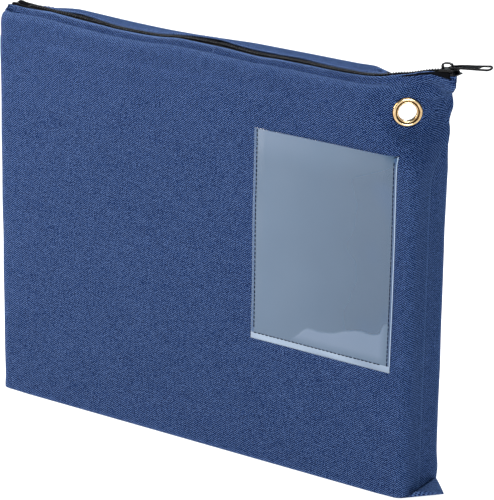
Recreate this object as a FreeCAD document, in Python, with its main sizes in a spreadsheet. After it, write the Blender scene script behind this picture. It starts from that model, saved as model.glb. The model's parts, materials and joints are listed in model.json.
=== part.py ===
import FreeCAD, Part
import Sketcher
import math
import os

# Cash deposit bag: a flat woven sack that is boxed out by what it holds, closed along the top by a
# coil zipper.  The row frame has its origin under the middle of the boxed body, +X towards the
# closed end of the zipper, -Y towards the front with the card window, +Z up.  Millimetres.

DIMENSIONS = {
    # boxed body
    "bag_width": 406.4,
    "bag_depth": 50.8,
    "cloth": 1.2,
    "front_fold_height": 318.0,
    "back_fold_height": 333.0,
    "left_corner_height": 300.0,
    "right_corner_height": 285.0,
    "seam_gap": 0.1,
    # where the movable middle of the mouth begins and ends
    "mouth_left": -163.2,
    "mouth_right": 141.8,
    "mouth_gap": 0.2,
    "fold_gap": 0.9,
    # ears left by the boxed bottom corners
    "right_ear_reach": 24.0,
    "left_ear_reach": 24.0,
    "ear_thickness": 2.4,
    "ear_lift": 0.6,
    # zipper line: an arc about an axis parallel to Y, far above the bag
    "zip_low_x": -43.2,
    "zip_low_height": 336.0,
    "zip_radius": 1850.0,
    "coil_inner": 0.8,
    "coil_outer": 3.4,
    "coil_half_height": 1.2,
    "coil_left": -190.2,
    "coil_right": 219.0,
    "tape_outer": 8.6,
    "tape_end_outer": 6.1,
    "tape_low": -0.45,
    "tape_high": -0.05,
    "tape_left": -197.0,
    "tape_right": 221.6,
    "lip_edge": 6.2,
    "lip_rise": 1.6,
    "hem_width": 2.8,
    "thread": 0.45,
    "thread_offset": 1.3,
    "thread_lift": 0.3,
    # slider
    "slider_x": 216.8,
    "slider_length": 16.0,
    "slider_tail_width": 9.4,
    "slider_nose_width": 11.0,
    "plate_gap": 3.0,
    "plate": 1.0,
    "flange_inner": 3.7,
    "flange_slot": 1.2,
    "post_width": 1.0,
    "post_length": 3.4,
    "bridge_length": 10.0,
    "bridge_height": 4.6,
    "bridge_width": 2.6,
    "bridge_wall": 1.2,
    "bridge_shift": 2.5,
    "plate_round": 0.35,
    # pull tab
    "tab_hinge_along": 0.2,
    "tab_hinge_above": 3.6,
    "tab_reach": 37.4,
    "tab_width": 7.6,
    "tab_thickness": 1.6,
    "tab_bar": 0.75,
    "tab_bar_length": 5.8,
    "tab_round": 0.5,
    "tab_eye_length": 9.2,
    "tab_eye_width": 4.4,
    "tab_slot_length": 10.0,
    "tab_slot_width": 5.0,
    "tab_slot_margin": 1.4,
    "tab_recess": 0.35,
    # zipper stops
    "stop_length": 2.5,
    "bottom_stop_length": 3.4,
    # seal grommet
    "grommet_x": 184.8,
    "grommet_y": -9.4,
    "grommet_height": 318.5,
    "grommet_turn": 38.0,
    "grommet_bore": 7.2,
    "grommet_barrel": 7.9,
    "grommet_flange": 11.8,
    "grommet_hole": 8.1,
    "layer_gap": 0.2,
    # card window
    "window_left": 53.9,
    "window_width": 133.4,
    "window_base": 106.0,
    "window_height": 180.2,
    "window_film": 0.4,
    "window_side_inset": 2.6,
    "window_base_inset": 5.2,
    # side seams inside the bag
    "seam_allowance": 9.0,
}


class Size:
    """A number together with the spreadsheet formula that gives it."""

    def __init__(self, number, formula):
        self.number = number
        self.formula = formula

    def _with(self, other, sign, number):
        return Size(number, f"({self.formula} {sign} {other.formula})")

    def __add__(self, other):
        other = as_size(other)
        return self._with(other, "+", self.number + other.number)

    def __sub__(self, other):
        other = as_size(other)
        return self._with(other, "-", self.number - other.number)

    def __mul__(self, other):
        other = as_size(other)
        return self._with(other, "*", self.number * other.number)

    def __truediv__(self, other):
        other = as_size(other)
        return self._with(other, "/", self.number / other.number)

    def __radd__(self, other):
        return as_size(other) + self

    def __rsub__(self, other):
        return as_size(other) - self

    def __neg__(self):
        return as_size(0) - self


def as_size(value):
    if isinstance(value, Size):
        return value
    return Size(float(value), repr(float(value)))


doc = FreeCAD.newDocument("deposit_bag")
sheet = doc.addObject("Spreadsheet::Sheet", "Dimensions")
size = {}
for row, (alias, number) in enumerate(DIMENSIONS.items(), start=1):
    sheet.set(f"A{row}", alias)
    sheet.set(f"B{row}", str(number))
    sheet.setAlias(f"B{row}", alias)
    size[alias] = Size(number, f"Dimensions.{alias}")
doc.recompute()
num = {alias: float(sheet.get(alias)) for alias in DIMENSIONS}

nodes = []


def keep(obj, label):
    """Register a finished sub-part under its node name."""
    obj.Label = label
    nodes.append(obj)
    return obj


# ---------------------------------------------------------------- sketches and PartDesign bodies

def new_body(label):
    return keep(doc.addObject("PartDesign::Body", "Body_" + label), label)


def new_sketch(body, name, role, height=None):
    """A sketch on one of the body's own origin planes, raised by height along its normal."""
    plane = next(f for f in body.Origin.OriginFeatures if f.Role == role)
    sketch = body.newObject("Sketcher::SketchObject", name)
    sketch.AttachmentSupport = [(plane, "")]
    sketch.MapMode = "FlatFace"
    if height is not None:
        sketch.setExpression("AttachmentOffset.Base.z", as_size(height).formula)
    return sketch


def pin_point(sketch, geometry, end, x, y):
    """Fix one end of a sketch edge at (x, y) from the sketch's origin."""
    for kind, value in (("DistanceX", x), ("DistanceY", y)):
        value = as_size(value)
        index = sketch.addConstraint(Sketcher.Constraint(kind, -1, 1, geometry, end, value.number))
        sketch.setExpression(f"Constraints[{index}]", value.formula)


def outline(sketch, points):
    """A closed polygon whose every corner is bound to the spreadsheet."""
    points = [(as_size(x), as_size(y)) for x, y in points]
    first = sketch.GeometryCount
    count = len(points)
    for i in range(count):
        start, stop = points[i], points[(i + 1) % count]
        sketch.addGeometry(Part.LineSegment(
            FreeCAD.Vector(start[0].number, start[1].number, 0),
            FreeCAD.Vector(stop[0].number, stop[1].number, 0)))
    for i in range(count):
        sketch.addConstraint(Sketcher.Constraint(
            "Coincident", first + i, 2, first + (i + 1) % count, 1))
    for i in range(count):
        pin_point(sketch, first + i, 1, *points[i])


def rectangle(sketch, x_low, x_high, y_low, y_high):
    outline(sketch, [(x_low, y_low), (x_high, y_low), (x_high, y_high), (x_low, y_high)])


def stadium(sketch, x_low, x_high, width):
    """A slot along the sketch's x axis with round ends, x_low to x_high over all."""
    x_low, x_high = as_size(x_low), as_size(x_high)
    radius = as_size(width) / 2
    left, right = x_low + radius, x_high - radius
    first = sketch.GeometryCount
    quarter = math.pi / 2
    for centre, start in ((left, quarter), (right, -quarter)):
        circle = Part.Circle(FreeCAD.Vector(centre.number, 0, 0), FreeCAD.Vector(0, 0, 1),
                             radius.number)
        sketch.addGeometry(Part.ArcOfCircle(circle, start, start + math.pi))
    for sign in (1, -1):
        sketch.addGeometry(Part.LineSegment(
            FreeCAD.Vector(left.number, sign * radius.number, 0),
            FreeCAD.Vector(right.number, sign * radius.number, 0)))
    top, base = first + 2, first + 3
    pairs = [(first, 1, top, 1), (first, 2, base, 1), (first + 1, 2, top, 2), (first + 1, 1, base, 2)]
    for pair in pairs:
        sketch.addConstraint(Sketcher.Constraint("Coincident", *pair))
    pin_point(sketch, top, 1, left, radius)
    pin_point(sketch, top, 2, right, radius)
    pin_point(sketch, base, 1, left, -radius)
    pin_point(sketch, base, 2, right, -radius)
    for arc, centre in ((first, left), (first + 1, right)):
        index = sketch.addConstraint(Sketcher.Constraint(
            "DistanceX", -1, 1, arc, 3, centre.number))
        sketch.setExpression(f"Constraints[{index}]", centre.formula)


def circle(sketch, radius):
    """A circle round the sketch's origin."""
    index = sketch.addGeometry(Part.Circle(FreeCAD.Vector(), FreeCAD.Vector(0, 0, 1), radius.number))
    sketch.addConstraint(Sketcher.Constraint("Coincident", index, 3, -1, 1))
    bound = sketch.addConstraint(Sketcher.Constraint("Radius", index, radius.number))
    sketch.setExpression(f"Constraints[{bound}]", radius.formula)


def add_pad(body, sketch, length, midplane=False):
    pad = body.newObject("PartDesign::Pad", sketch.Name + "_pad")
    pad.Profile = sketch
    pad.setExpression("Length", as_size(length).formula)
    pad.Midplane = midplane
    sketch.Visibility = False
    doc.recompute()
    return pad


def add_pocket(body, sketch, length, reverse=False):
    before = body.Shape.Volume
    pocket = body.newObject("PartDesign::Pocket", sketch.Name + "_pocket")
    pocket.Profile = sketch
    pocket.setExpression("Length", as_size(length).formula)
    pocket.Reversed = reverse
    doc.recompute()
    if not body.Shape.Volume < before:
        raise RuntimeError(f"{pocket.Name} cuts nothing")
    return pocket


def edges_of(body):
    return [(f"Edge{i}", edge) for i, edge in enumerate(body.Shape.Edges, start=1)]


def lies_between(edge, axis, low, high):
    """Whether the whole edge lies between low and high along one axis."""
    box = edge.BoundBox
    first, last = getattr(box, axis.upper() + "Min"), getattr(box, axis.upper() + "Max")
    return first > low - 0.01 and last < high + 0.01


def round_edges(body, name, edges, radius):
    base = body.Tip
    fillet = body.newObject("PartDesign::Fillet", name)
    fillet.Base = (base, edges)
    fillet.setExpression("Radius", as_size(radius).formula)
    doc.recompute()


def place_body(body, x=None, y=None, z=None):
    for axis, value in (("x", x), ("y", y), ("z", z)):
        if value is not None:
            body.setExpression(f"Placement.Base.{axis}", as_size(value).formula)


def block(label, x, y, z):
    """A plain rectangular piece; x, y and z are (low, high) pairs."""
    box = keep(doc.addObject("Part::Box", "Box_" + label), label)
    for prop, axis, (low, high) in (("Length", "x", x), ("Width", "y", y), ("Height", "z", z)):
        low, high = as_size(low), as_size(high)
        box.setExpression(prop, (high - low).formula)
        box.setExpression(f"Placement.Base.{axis}", low.formula)
    return box


# ---------------------------------------------------------------------------- the zipper's arc

def zip_angle(x):
    """Degrees from the lowest point of the zipper's arc to the point above x."""
    return math.degrees(math.asin((x - num["zip_low_x"]) / num["zip_radius"]))


def zip_height(x):
    drop = math.sqrt(num["zip_radius"] ** 2 - (x - num["zip_low_x"]) ** 2)
    return num["zip_low_height"] + num["zip_radius"] - drop


def angle_formula(x):
    return f"asin(({as_size(x).formula} - Dimensions.zip_low_x) / Dimensions.zip_radius)"


def zip_strip(label, inner, outer, low, high, x_low, x_high, side):
    """A strip that follows the zipper's arc: inner to outer from its middle, low to high on it."""
    body = new_body(label)
    sketch = new_sketch(body, label + "_section", "YZ_Plane")
    near, far = as_size(inner) * side, as_size(outer) * side
    if side < 0:
        near, far = far, near
    base = as_size(low) - size["zip_radius"]
    top = as_size(high) - size["zip_radius"]
    rectangle(sketch, near, far, base, top)
    turn = body.newObject("PartDesign::Revolution", label + "_turn")
    turn.Profile = sketch
    turn.ReferenceAxis = (sketch, ["H_Axis"])
    turn.setExpression("Angle", f"{angle_formula(x_high)} - {angle_formula(x_low)}")
    place_body(body, size["zip_low_x"], 0, size["zip_low_height"] + size["zip_radius"])
    body.Placement.Rotation = FreeCAD.Rotation(FreeCAD.Vector(0, 1, 0), -zip_angle(
        as_size(x_high).number))
    return body


def zip_frame(along, above):
    """Placement of a piece on the slider: along the zipper and above it at the slider's rest."""
    turn = FreeCAD.Rotation(FreeCAD.Vector(0, 1, 0), -zip_angle(num["slider_x"]))
    middle = FreeCAD.Vector(num["slider_x"], 0, zip_height(num["slider_x"]))
    return FreeCAD.Placement(middle + turn.multVec(FreeCAD.Vector(along, 0, above)), turn)


# ---------------------------------------------------------------------- pieces of folded cloth

def cloth_solid(rows, thickness, inside):
    """A closed solid from a net of outer points, thickened towards the point called inside.

    The lowest row is thickened level, the highest one straight down, and a side that stands in a
    plane across the bag stays in it, so that neighbouring pieces meet edge to edge.
    """
    tall, wide = len(rows), len(rows[0])

    def normal(i, j):
        down, up = rows[max(i - 1, 0)][j], rows[min(i + 1, tall - 1)][j]
        left, right = rows[i][max(j - 1, 0)], rows[i][min(j + 1, wide - 1)]
        direction = (up - down).cross(right - left)
        if i == 0:
            direction.z = 0
        if j in (0, wide - 1) and max(r[j].x for r in rows) - min(r[j].x for r in rows) < 0.01:
            direction.x = 0
        return direction.normalize()

    middle = rows[tall // 2][wide // 2]
    sign = 1 if normal(tall // 2, wide // 2).dot(inside - middle) > 0 else -1
    outer = rows
    inner = [[point + normal(i, j) * (sign * thickness) for j, point in enumerate(row)]
             for i, row in enumerate(rows[:-1])]
    inner.append([point - FreeCAD.Vector(0, 0, thickness) for point in rows[-1]])
    triangles = []
    for net in (outer, inner):
        for i in range(tall - 1):
            for j in range(wide - 1):
                triangles.append((net[i][j], net[i][j + 1], net[i + 1][j + 1]))
                triangles.append((net[i][j], net[i + 1][j + 1], net[i + 1][j]))
    rim = [(0, j) for j in range(wide)] + [(i, wide - 1) for i in range(1, tall)]
    rim += [(tall - 1, j) for j in range(wide - 2, -1, -1)] + [(i, 0) for i in range(tall - 2, 0, -1)]
    for k, (i, j) in enumerate(rim):
        m, n = rim[(k + 1) % len(rim)]
        triangles.append((outer[i][j], outer[m][n], inner[m][n]))
        triangles.append((outer[i][j], inner[m][n], inner[i][j]))
    faces = [Part.Face(Part.makePolygon([a, b, c, a])) for a, b, c in triangles]
    shell = Part.makeShell(faces)
    shell.sewShape()
    solid = Part.makeSolid(shell)
    if solid.Volume < 0:
        solid.reverse()
    return solid


def cloth_piece(label, rows, inside, cut=None):
    shape = cloth_solid(rows, num["cloth"], inside)
    if cut is not None:
        shape = shape.cut(cut)
    feature = keep(doc.addObject("Part::Feature", "Cloth_" + label), label)
    feature.Shape = shape
    return feature


def net(levels):
    """Rows of points from rows of (x, y, z)."""
    return [[FreeCAD.Vector(*point) for point in level] for level in levels]


half_width = num["bag_width"] / 2
half_depth = num["bag_depth"] / 2


def front_lip_profile(x):
    """Height stations of the front lip above x, from the fold up and over to the zipper."""
    hem = num["lip_edge"] + num["hem_width"]
    reach = half_depth - hem
    edge = zip_height(x) + num["lip_rise"]
    rise = edge - num["front_fold_height"]
    steps = 5
    turns = [math.radians(90 * k / (steps - 1)) for k in range(steps)]
    curve = [(x, -half_depth + reach * (1 - math.cos(t)), num["front_fold_height"] + rise * math.sin(t))
             for t in turns]
    return curve + [(x, -num["lip_edge"], edge)]


def back_lip_profile(x):
    """The back lip turns a tight corner at the fold and then lies flat towards the zipper."""
    edge = zip_height(x) + num["lip_rise"]
    fold = num["back_fold_height"]
    shoulder = 5.0
    return [
        (x, half_depth, fold),
        (x, half_depth - 1.5, fold + 3.4),
        (x, half_depth - shoulder, fold + 5.0),
        (x, half_depth - shoulder * 2, (fold + 5.0) * 0.6 + edge * 0.4),
        (x, num["lip_edge"] + num["hem_width"], edge),
        (x, num["lip_edge"], edge),
    ]


def mouth_lips():
    """The two movable middles of the lips."""
    low = num["mouth_left"] + num["mouth_gap"]
    high = num["mouth_right"] - num["mouth_gap"]
    spans = 6
    stations = [low + (high - low) * k / spans for k in range(spans + 1)]
    inside = FreeCAD.Vector(0, 0, 200)
    for label, profile in (("front_lip_middle", front_lip_profile),
                           ("back_lip_middle", back_lip_profile)):
        columns = [profile(x) for x in stations]
        rows = [[column[k] for column in columns] for k in range(len(columns[0]))]
        cloth_piece(label, net(rows), inside)


def grommet_axis():
    """Unit vectors along and out of the pinched cloth at the grommet."""
    turn = math.radians(num["grommet_turn"])
    along = FreeCAD.Vector(math.cos(turn), math.sin(turn), 0)
    out = FreeCAD.Vector(math.sin(turn), -math.cos(turn), 0)
    return along, out


def grommet_centre():
    return FreeCAD.Vector(num["grommet_x"], num["grommet_y"], num["grommet_height"])


def right_corners():
    """The closed end: both layers pinched together around the grommet."""
    along, out = grommet_axis()
    centre = grommet_centre()
    flat = 14.0
    x = num["mouth_right"] + num["mouth_gap"]
    low, high = num["right_corner_height"], num["grommet_height"]
    seam_x = 218.0
    corner_x = 221.4
    front_ends = [centre - along * flat, centre + along * flat]
    pinch = num["cloth"] * 2 + num["layer_gap"]
    back_ends = [point - out * pinch for point in front_ends]
    hole = Part.makeCylinder(num["grommet_hole"], 30, centre - out * 15, out)
    edge, hem = num["lip_edge"], num["lip_edge"] + num["hem_width"]

    front = front_lip_profile(x)
    top = [zip_height(point.x) + num["lip_rise"] for point in front_ends]
    cloth_piece("front_corner_right", net([
        [(x, -half_depth, low), (front_ends[0].x, -half_depth, low), (half_width, -half_depth, low),
         (half_width, -12, low), (half_width, -0.1, low)],
        [(x, -half_depth, high - 14), (front_ends[0].x, front_ends[0].y, high - 14),
         (front_ends[1].x, front_ends[1].y, high - 14), (208, -0.4, high - 14),
         (seam_x, -0.2, high - 14)],
        [front[0], (front_ends[0].x, front_ends[0].y, high), (front_ends[1].x, front_ends[1].y, high),
         (208, -0.4, high), (seam_x, -0.2, high)],
        [front[1], (front_ends[0].x, front_ends[0].y, high + 14),
         (front_ends[1].x, front_ends[1].y, high + 14), (208, -0.4, high + 14),
         (seam_x, -0.2, high + 14)],
        [front[2], (front_ends[0].x, -14.5, 341), (front_ends[1].x, -9.0, 343), (208, -6.0, 344),
         (220, -3.0, 344)],
        *[[front[k], (front_ends[0].x, -y, top[0]), (front_ends[1].x, -y, top[1]),
           (208, -y, top[1]), (corner_x, -y, top[1] - 2)] for k, y in ((4, hem), (5, edge))],
    ]), FreeCAD.Vector(120, 60, 250), hole)

    back = back_lip_profile(x)
    top = [zip_height(point.x) + num["lip_rise"] for point in back_ends]
    cloth_piece("back_corner_right", net([
        [(x, half_depth, low), (back_ends[0].x, half_depth, low), (half_width, half_depth, low),
         (half_width, 12, low), (half_width, 0.1, low)],
        [(x, half_depth, high - 14), (back_ends[0].x, back_ends[0].y, high - 14),
         (back_ends[1].x, back_ends[1].y, high - 14), (208, 2.4, high - 14), (seam_x, 2.4, high - 14)],
        [back[0], (back_ends[0].x, back_ends[0].y, high + 14),
         (back_ends[1].x, back_ends[1].y, high + 14), (208, 2.4, high + 14), (seam_x, 2.4, high + 14)],
        [back[2], (back_ends[0].x, 6.0, 341), (back_ends[1].x, 7.6, 343), (208, 7.0, 344),
         (220, 3.6, 344)],
        *[[back[k], (back_ends[0].x, y, top[0]), (back_ends[1].x, y, top[1]),
           (208, y, top[1]), (corner_x, y, top[1] - 2)] for k, y in ((4, hem), (5, edge))],
    ]), FreeCAD.Vector(120, -60, 250), hole)


def left_corners():
    """The open end: a small ear pinched out of the side seam."""
    x = num["mouth_left"] - num["mouth_gap"]
    low = num["left_corner_height"]
    for label, side, profile in (("front_corner_left", -1, front_lip_profile),
                                 ("back_corner_left", 1, back_lip_profile)):
        lip = profile(x)
        edge = num["lip_edge"]
        rows = [
            [(x, half_depth, low), (-190, half_depth, low), (-half_width, half_depth, low),
             (-half_width, 12, low), (-half_width, 0.6, low)],
            [(x, half_depth, 316), (-190, 25, 316), (-204, 21, 316), (-208, 10, 316),
             (-210, 0.6, 316)],
            [(x, abs(lip[1][1]), lip[1][2]), (-190, 21.5, 329), (-204, 16, 330), (-210, 8, 330),
             (-212, 0.6, 330)],
            [(x, abs(lip[2][1]), lip[2][2]), (-190, 16, 337), (-202, 12, 336.5), (-207.5, 7, 335.5),
             (-210.5, 0.6, 335)],
            *[[(x, y, lip[5][2]), (-190, y, zip_height(-190) + 1.6), (-199, y, 342),
               (-204, y - 2, 340.5), (-206, 1.0, 341 - y / 2)]
              for y in (edge + num["hem_width"], edge)],
        ]
        mirrored = [[(p[0], side * p[1], p[2]) for p in row] for row in rows]
        cloth_piece(label, net(mirrored), FreeCAD.Vector(-120, -side * 40, 280))


# ---------------------------------------------------------------------------- the boxed body

def panel(label, fold_height, y_outer):
    """A large panel with its top corners stepped down where the pinched corners begin."""
    body = new_body(label)
    sketch = new_sketch(body, label + "_outline", "XZ_Plane")
    right = size["bag_width"] / 2
    top = fold_height - size["fold_gap"]
    left_step = size["left_corner_height"] - size["fold_gap"]
    right_step = size["right_corner_height"] - size["fold_gap"]
    outline(sketch, [
        (-right, 0), (right, 0), (right, right_step), (size["mouth_right"], right_step),
        (size["mouth_right"], top), (size["mouth_left"], top), (size["mouth_left"], left_step),
        (-right, left_step),
    ])
    add_pad(body, sketch, size["cloth"])
    place_body(body, y=y_outer)


def boxed_body():
    panel("front_panel", size["front_fold_height"], size["cloth"] - size["bag_depth"] / 2)
    panel("back_panel", size["back_fold_height"], size["bag_depth"] / 2)
    wall = size["cloth"]
    gap = size["seam_gap"]
    right = size["bag_width"] / 2
    inner_y = size["bag_depth"] / 2 - wall - gap
    inner_x = right - wall - gap
    block("bottom_panel", (-inner_x, inner_x), (-inner_y, inner_y), (0, wall))
    block("left_side_panel", (-right, wall - right), (-inner_y, inner_y),
          (0, size["left_corner_height"] - size["fold_gap"]))
    block("right_side_panel", (right - wall, right), (-inner_y, inner_y),
          (0, size["right_corner_height"] - size["fold_gap"]))
    for label, side, top in (("left_seam_allowance", -1, size["left_corner_height"]),
                             ("right_seam_allowance", 1, size["right_corner_height"])):
        reach = size["seam_allowance"]
        near = right - wall - gap
        far = near - reach
        x = (far, near) if side > 0 else (-near, -far)
        block(label, x, (-wall, wall), (wall * 2, top - wall * 2))


def bottom_ears():
    """The triangles that the boxed bottom corners leave outside the body."""
    right = size["bag_width"] / 2
    half = size["bag_depth"] / 2
    body = new_body("right_bottom_ear")
    sketch = new_sketch(body, "right_ear_outline", "XY_Plane")
    outline(sketch, [(right + 0.2, 0.6 - half), (right + size["right_ear_reach"], 0),
                     (right + 0.2, half - 0.6)])
    add_pad(body, sketch, size["ear_thickness"])
    place_body(body, z=size["ear_lift"])
    body = new_body("left_bottom_ear")
    sketch = new_sketch(body, "left_ear_outline", "YZ_Plane")
    outline(sketch, [(1.0 - half, 1.0), (half - 1.0, 1.0), (0, size["left_ear_reach"])])
    add_pad(body, sketch, size["ear_thickness"])
    place_body(body, x=-right - 0.2 - size["ear_thickness"])


# ------------------------------------------------------------------------------- the zipper

def zipper_strips():
    """Tapes, coils and their stitching, front and back, each in a left, middle and right length.

    The tape reaches under the hem along the mouth, and is trimmed narrow in the folded corners.
    """
    gap = size["mouth_gap"]
    left_end, right_end = size["mouth_left"], size["mouth_right"]
    sections = (("left", None, left_end - gap), ("middle", left_end + gap, right_end - gap),
                ("right", right_end + gap, None))
    thread_inner = size["lip_edge"] + size["thread_offset"]
    thread_low = size["lip_rise"] + size["thread_lift"]
    strips = (
        ("tape", size["coil_outer"] + 0.05, size["tape_outer"], size["tape_low"], size["tape_high"],
         size["tape_left"], size["tape_right"]),
        ("coil", size["coil_inner"], size["coil_outer"], -size["coil_half_height"],
         size["coil_half_height"], size["coil_left"], size["coil_right"]),
        ("zip_stitching", thread_inner, thread_inner + size["thread"], thread_low,
         thread_low + size["thread"], size["coil_left"], size["coil_right"] - 4),
    )
    for face, side in (("front", -1), ("back", 1)):
        for kind, inner, outer, low, high, first, last in strips:
            for section, x_low, x_high in sections:
                narrow = kind == "tape" and section != "middle"
                reach = size["tape_end_outer"] if narrow else outer
                zip_strip(f"{face}_{kind}_{section}", inner, reach, low, high,
                          first if x_low is None else x_low, last if x_high is None else x_high,
                          side)


def zipper_stops():
    """Two top stops inside the slider's mouth and one bottom stop that joins both coils."""
    height = size["coil_half_height"]
    start = size["coil_right"] + 0.3
    for face, side in (("front", -1), ("back", 1)):
        zip_strip("top_stop_" + face, size["coil_inner"], size["coil_outer"], -height, height,
                  start, start + size["stop_length"], side)
    bottom_end = size["coil_left"] - 0.3
    zip_strip("bottom_stop", -size["coil_outer"], size["coil_outer"], -height - 0.3,
              height + 0.3, bottom_end - size["bottom_stop_length"], bottom_end, 1)


def slider():
    """Two plates joined by a post at the nose, flanged at both sides, with a bridge on top."""
    body = new_body("slider_body")
    half_length = size["slider_length"] / 2
    tail, nose = size["slider_tail_width"] / 2, size["slider_nose_width"] / 2
    half_gap = size["plate_gap"] / 2
    plate = [(-half_length, -tail), (half_length - 3, -nose), (half_length, 1.6 - nose),
             (half_length, nose - 1.6), (half_length - 3, nose), (-half_length, tail)]

    lower = new_sketch(body, "lower_plate", "XY_Plane", -half_gap - size["plate"])
    outline(lower, plate)
    add_pad(body, lower, size["plate"])

    post = new_sketch(body, "post", "XY_Plane", -half_gap)
    post_half = size["post_width"] / 2
    outline(post, [(half_length - size["post_length"], 0), (half_length - 1.4, -post_half),
                   (half_length - 0.4, -post_half), (half_length - 0.4, post_half),
                   (half_length - 1.4, post_half)])
    add_pad(body, post, size["plate_gap"])

    upper = new_sketch(body, "upper_plate", "XY_Plane", half_gap)
    outline(upper, plate)
    add_pad(body, upper, size["plate"])

    depth = (size["plate_gap"] - size["flange_slot"]) / 2
    for name, start in (("lower_flange", -half_gap), ("upper_flange", half_gap - depth)):
        for side in (-1, 1):
            flange = new_sketch(body, f"{name}_{'front' if side < 0 else 'back'}", "XY_Plane", start)
            outline(flange, [(-half_length, size["flange_inner"] * side), (-half_length, tail * side),
                             (half_length - 3, nose * side),
                             (half_length - 3, (nose - tail + size["flange_inner"]) * side)])
            add_pad(body, flange, depth)

    top = half_gap + size["plate"]
    bridge_left = -size["bridge_length"] / 2 - size["bridge_shift"]
    bridge_right = size["bridge_length"] / 2 - size["bridge_shift"]
    wall = size["bridge_wall"]
    crown = top + size["bridge_height"]
    bridge = new_sketch(body, "bridge", "XZ_Plane")
    outline(bridge, [
        (bridge_left, top - 0.4), (bridge_left, crown - 2.2), (bridge_left + 0.9, crown - 0.7),
        (bridge_left + 2.6, crown), (bridge_right - 2.6, crown), (bridge_right - 0.9, crown - 0.7),
        (bridge_right, crown - 2.2), (bridge_right, top - 0.4), (bridge_right - wall, top - 0.4),
        (bridge_right - wall, crown - 2.3), (bridge_right - 2.6, crown - wall),
        (bridge_left + 2.6, crown - wall), (bridge_left + wall, crown - 2.3),
        (bridge_left + wall, top - 0.4),
    ])
    add_pad(body, bridge, size["bridge_width"], midplane=True)
    highest = num["plate_gap"] / 2 + num["plate"]
    rim = [name for name, edge in edges_of(body)
           if lies_between(edge, "z", highest, highest) and abs(edge.CenterOfMass.y) > num["bridge_width"]]
    crest = [name for name, edge in edges_of(body) if edge.BoundBox.ZMin > highest
             and lies_between(edge, "y", -num["bridge_width"], num["bridge_width"])
             and edge.BoundBox.YLength < 0.01]
    round_edges(body, "plate_rounding", rim + crest, size["plate_round"])
    body.Placement = zip_frame(0, 0)


def pull_tab():
    """A long flat pull with an eye round the bridge, a sunk middle and a seal slot near its tip."""
    body = new_body("pull_tab")
    thick = size["tab_thickness"]
    near = -size["tab_bar"]
    blank = new_sketch(body, "tab_blank", "XY_Plane")
    stadium(blank, near, size["tab_reach"], size["tab_width"])
    add_pad(body, blank, thick, midplane=True)
    rim = [name for name, edge in edges_of(body) if edge.BoundBox.ZLength < 0.01]
    round_edges(body, "blank_rounding", rim, size["tab_round"])
    eye_end, half_eye = size["tab_bar"] + size["tab_eye_length"], size["tab_eye_width"] / 2
    eye = new_sketch(body, "tab_eye", "XY_Plane", thick)
    outline(eye, [(-2, -half_eye), (eye_end - 1.2, -half_eye), (eye_end, -half_eye / 2),
                  (eye_end, half_eye / 2), (eye_end - 1.2, half_eye), (-2, half_eye)])
    add_pocket(body, eye, thick * 2)
    slot = new_sketch(body, "tab_slot", "XY_Plane", thick)
    slot_end = size["tab_reach"] - size["tab_slot_margin"]
    stadium(slot, slot_end - size["tab_slot_length"], slot_end, size["tab_slot_width"])
    add_pocket(body, slot, thick * 2)
    half_slot, face = num["tab_slot_width"] / 2, num["tab_thickness"] / 2
    slot_rim = [name for name, edge in edges_of(body) if edge.BoundBox.ZLength < 0.01
                and abs(edge.BoundBox.ZMax) > face - 0.01 and lies_between(edge, "y", -half_slot, half_slot)
                and edge.BoundBox.XMin > eye_end.number + 0.01]
    round_edges(body, "slot_rounding", slot_rim, size["tab_round"] * 0.6)
    low = size["tab_bar"] + size["tab_eye_length"] + 1.6
    high = size["tab_reach"] - size["tab_slot_margin"] - size["tab_slot_length"] - 1.6
    for name, height, reverse in (("upper_recess", thick / 2, False),
                                  ("lower_recess", -thick / 2, True)):
        recess = new_sketch(body, name, "XY_Plane", height)
        stadium(recess, low, high, size["tab_slot_width"])
        add_pocket(body, recess, size["tab_recess"], reverse)
    bar = new_sketch(body, "tab_bar", "XZ_Plane")
    circle(bar, size["tab_bar"])
    add_pad(body, bar, size["tab_bar_length"], midplane=True)
    body.Placement = zip_frame(num["tab_hinge_along"], num["tab_hinge_above"])


# --------------------------------------------------------------------- grommet and card window

def turned(label, name, profile):
    """A ring turned about its own Z axis from a profile of (radius, height) points."""
    body = new_body(label)
    sketch = new_sketch(body, name, "XZ_Plane")
    outline(sketch, profile)
    turn = body.newObject("PartDesign::Revolution", name + "_turn")
    turn.Profile = sketch
    turn.ReferenceAxis = (sketch, ["V_Axis"])
    turn.Angle = 360
    doc.recompute()
    along, out = grommet_axis()
    body.Placement = FreeCAD.Placement(
        grommet_centre(), FreeCAD.Rotation(FreeCAD.Vector(0, 0, 1), out))
    return body


def seal_grommet():
    """Heights are measured out of the front layer, which is at zero."""
    bore, barrel, rim = size["grommet_bore"], size["grommet_barrel"], size["grommet_flange"]
    stack = size["cloth"] * 2 + size["layer_gap"]
    washer_low = -stack - 0.85
    turned("grommet", "grommet_profile", [
        (bore, washer_low - 0.9), (barrel + 1.4, washer_low - 0.7), (barrel + 1.4, washer_low - 0.05),
        (barrel, washer_low - 0.05), (barrel, 0.05), (rim, 0.05), (rim, 0.7), (rim - 0.7, 1.5),
        (rim - 1.8, 1.85), (barrel + 0.9, 1.2), (bore + 0.25, 0.9), (bore, 0.5),
    ])
    turned("grommet_washer", "washer_profile", [
        (barrel + 0.1, washer_low), (rim - 0.4, washer_low), (rim, washer_low + 0.3),
        (rim, -stack - 0.05), (rim - 0.8, -stack - 0.05), (barrel + 0.1, washer_low + 0.45),
    ])


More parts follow.
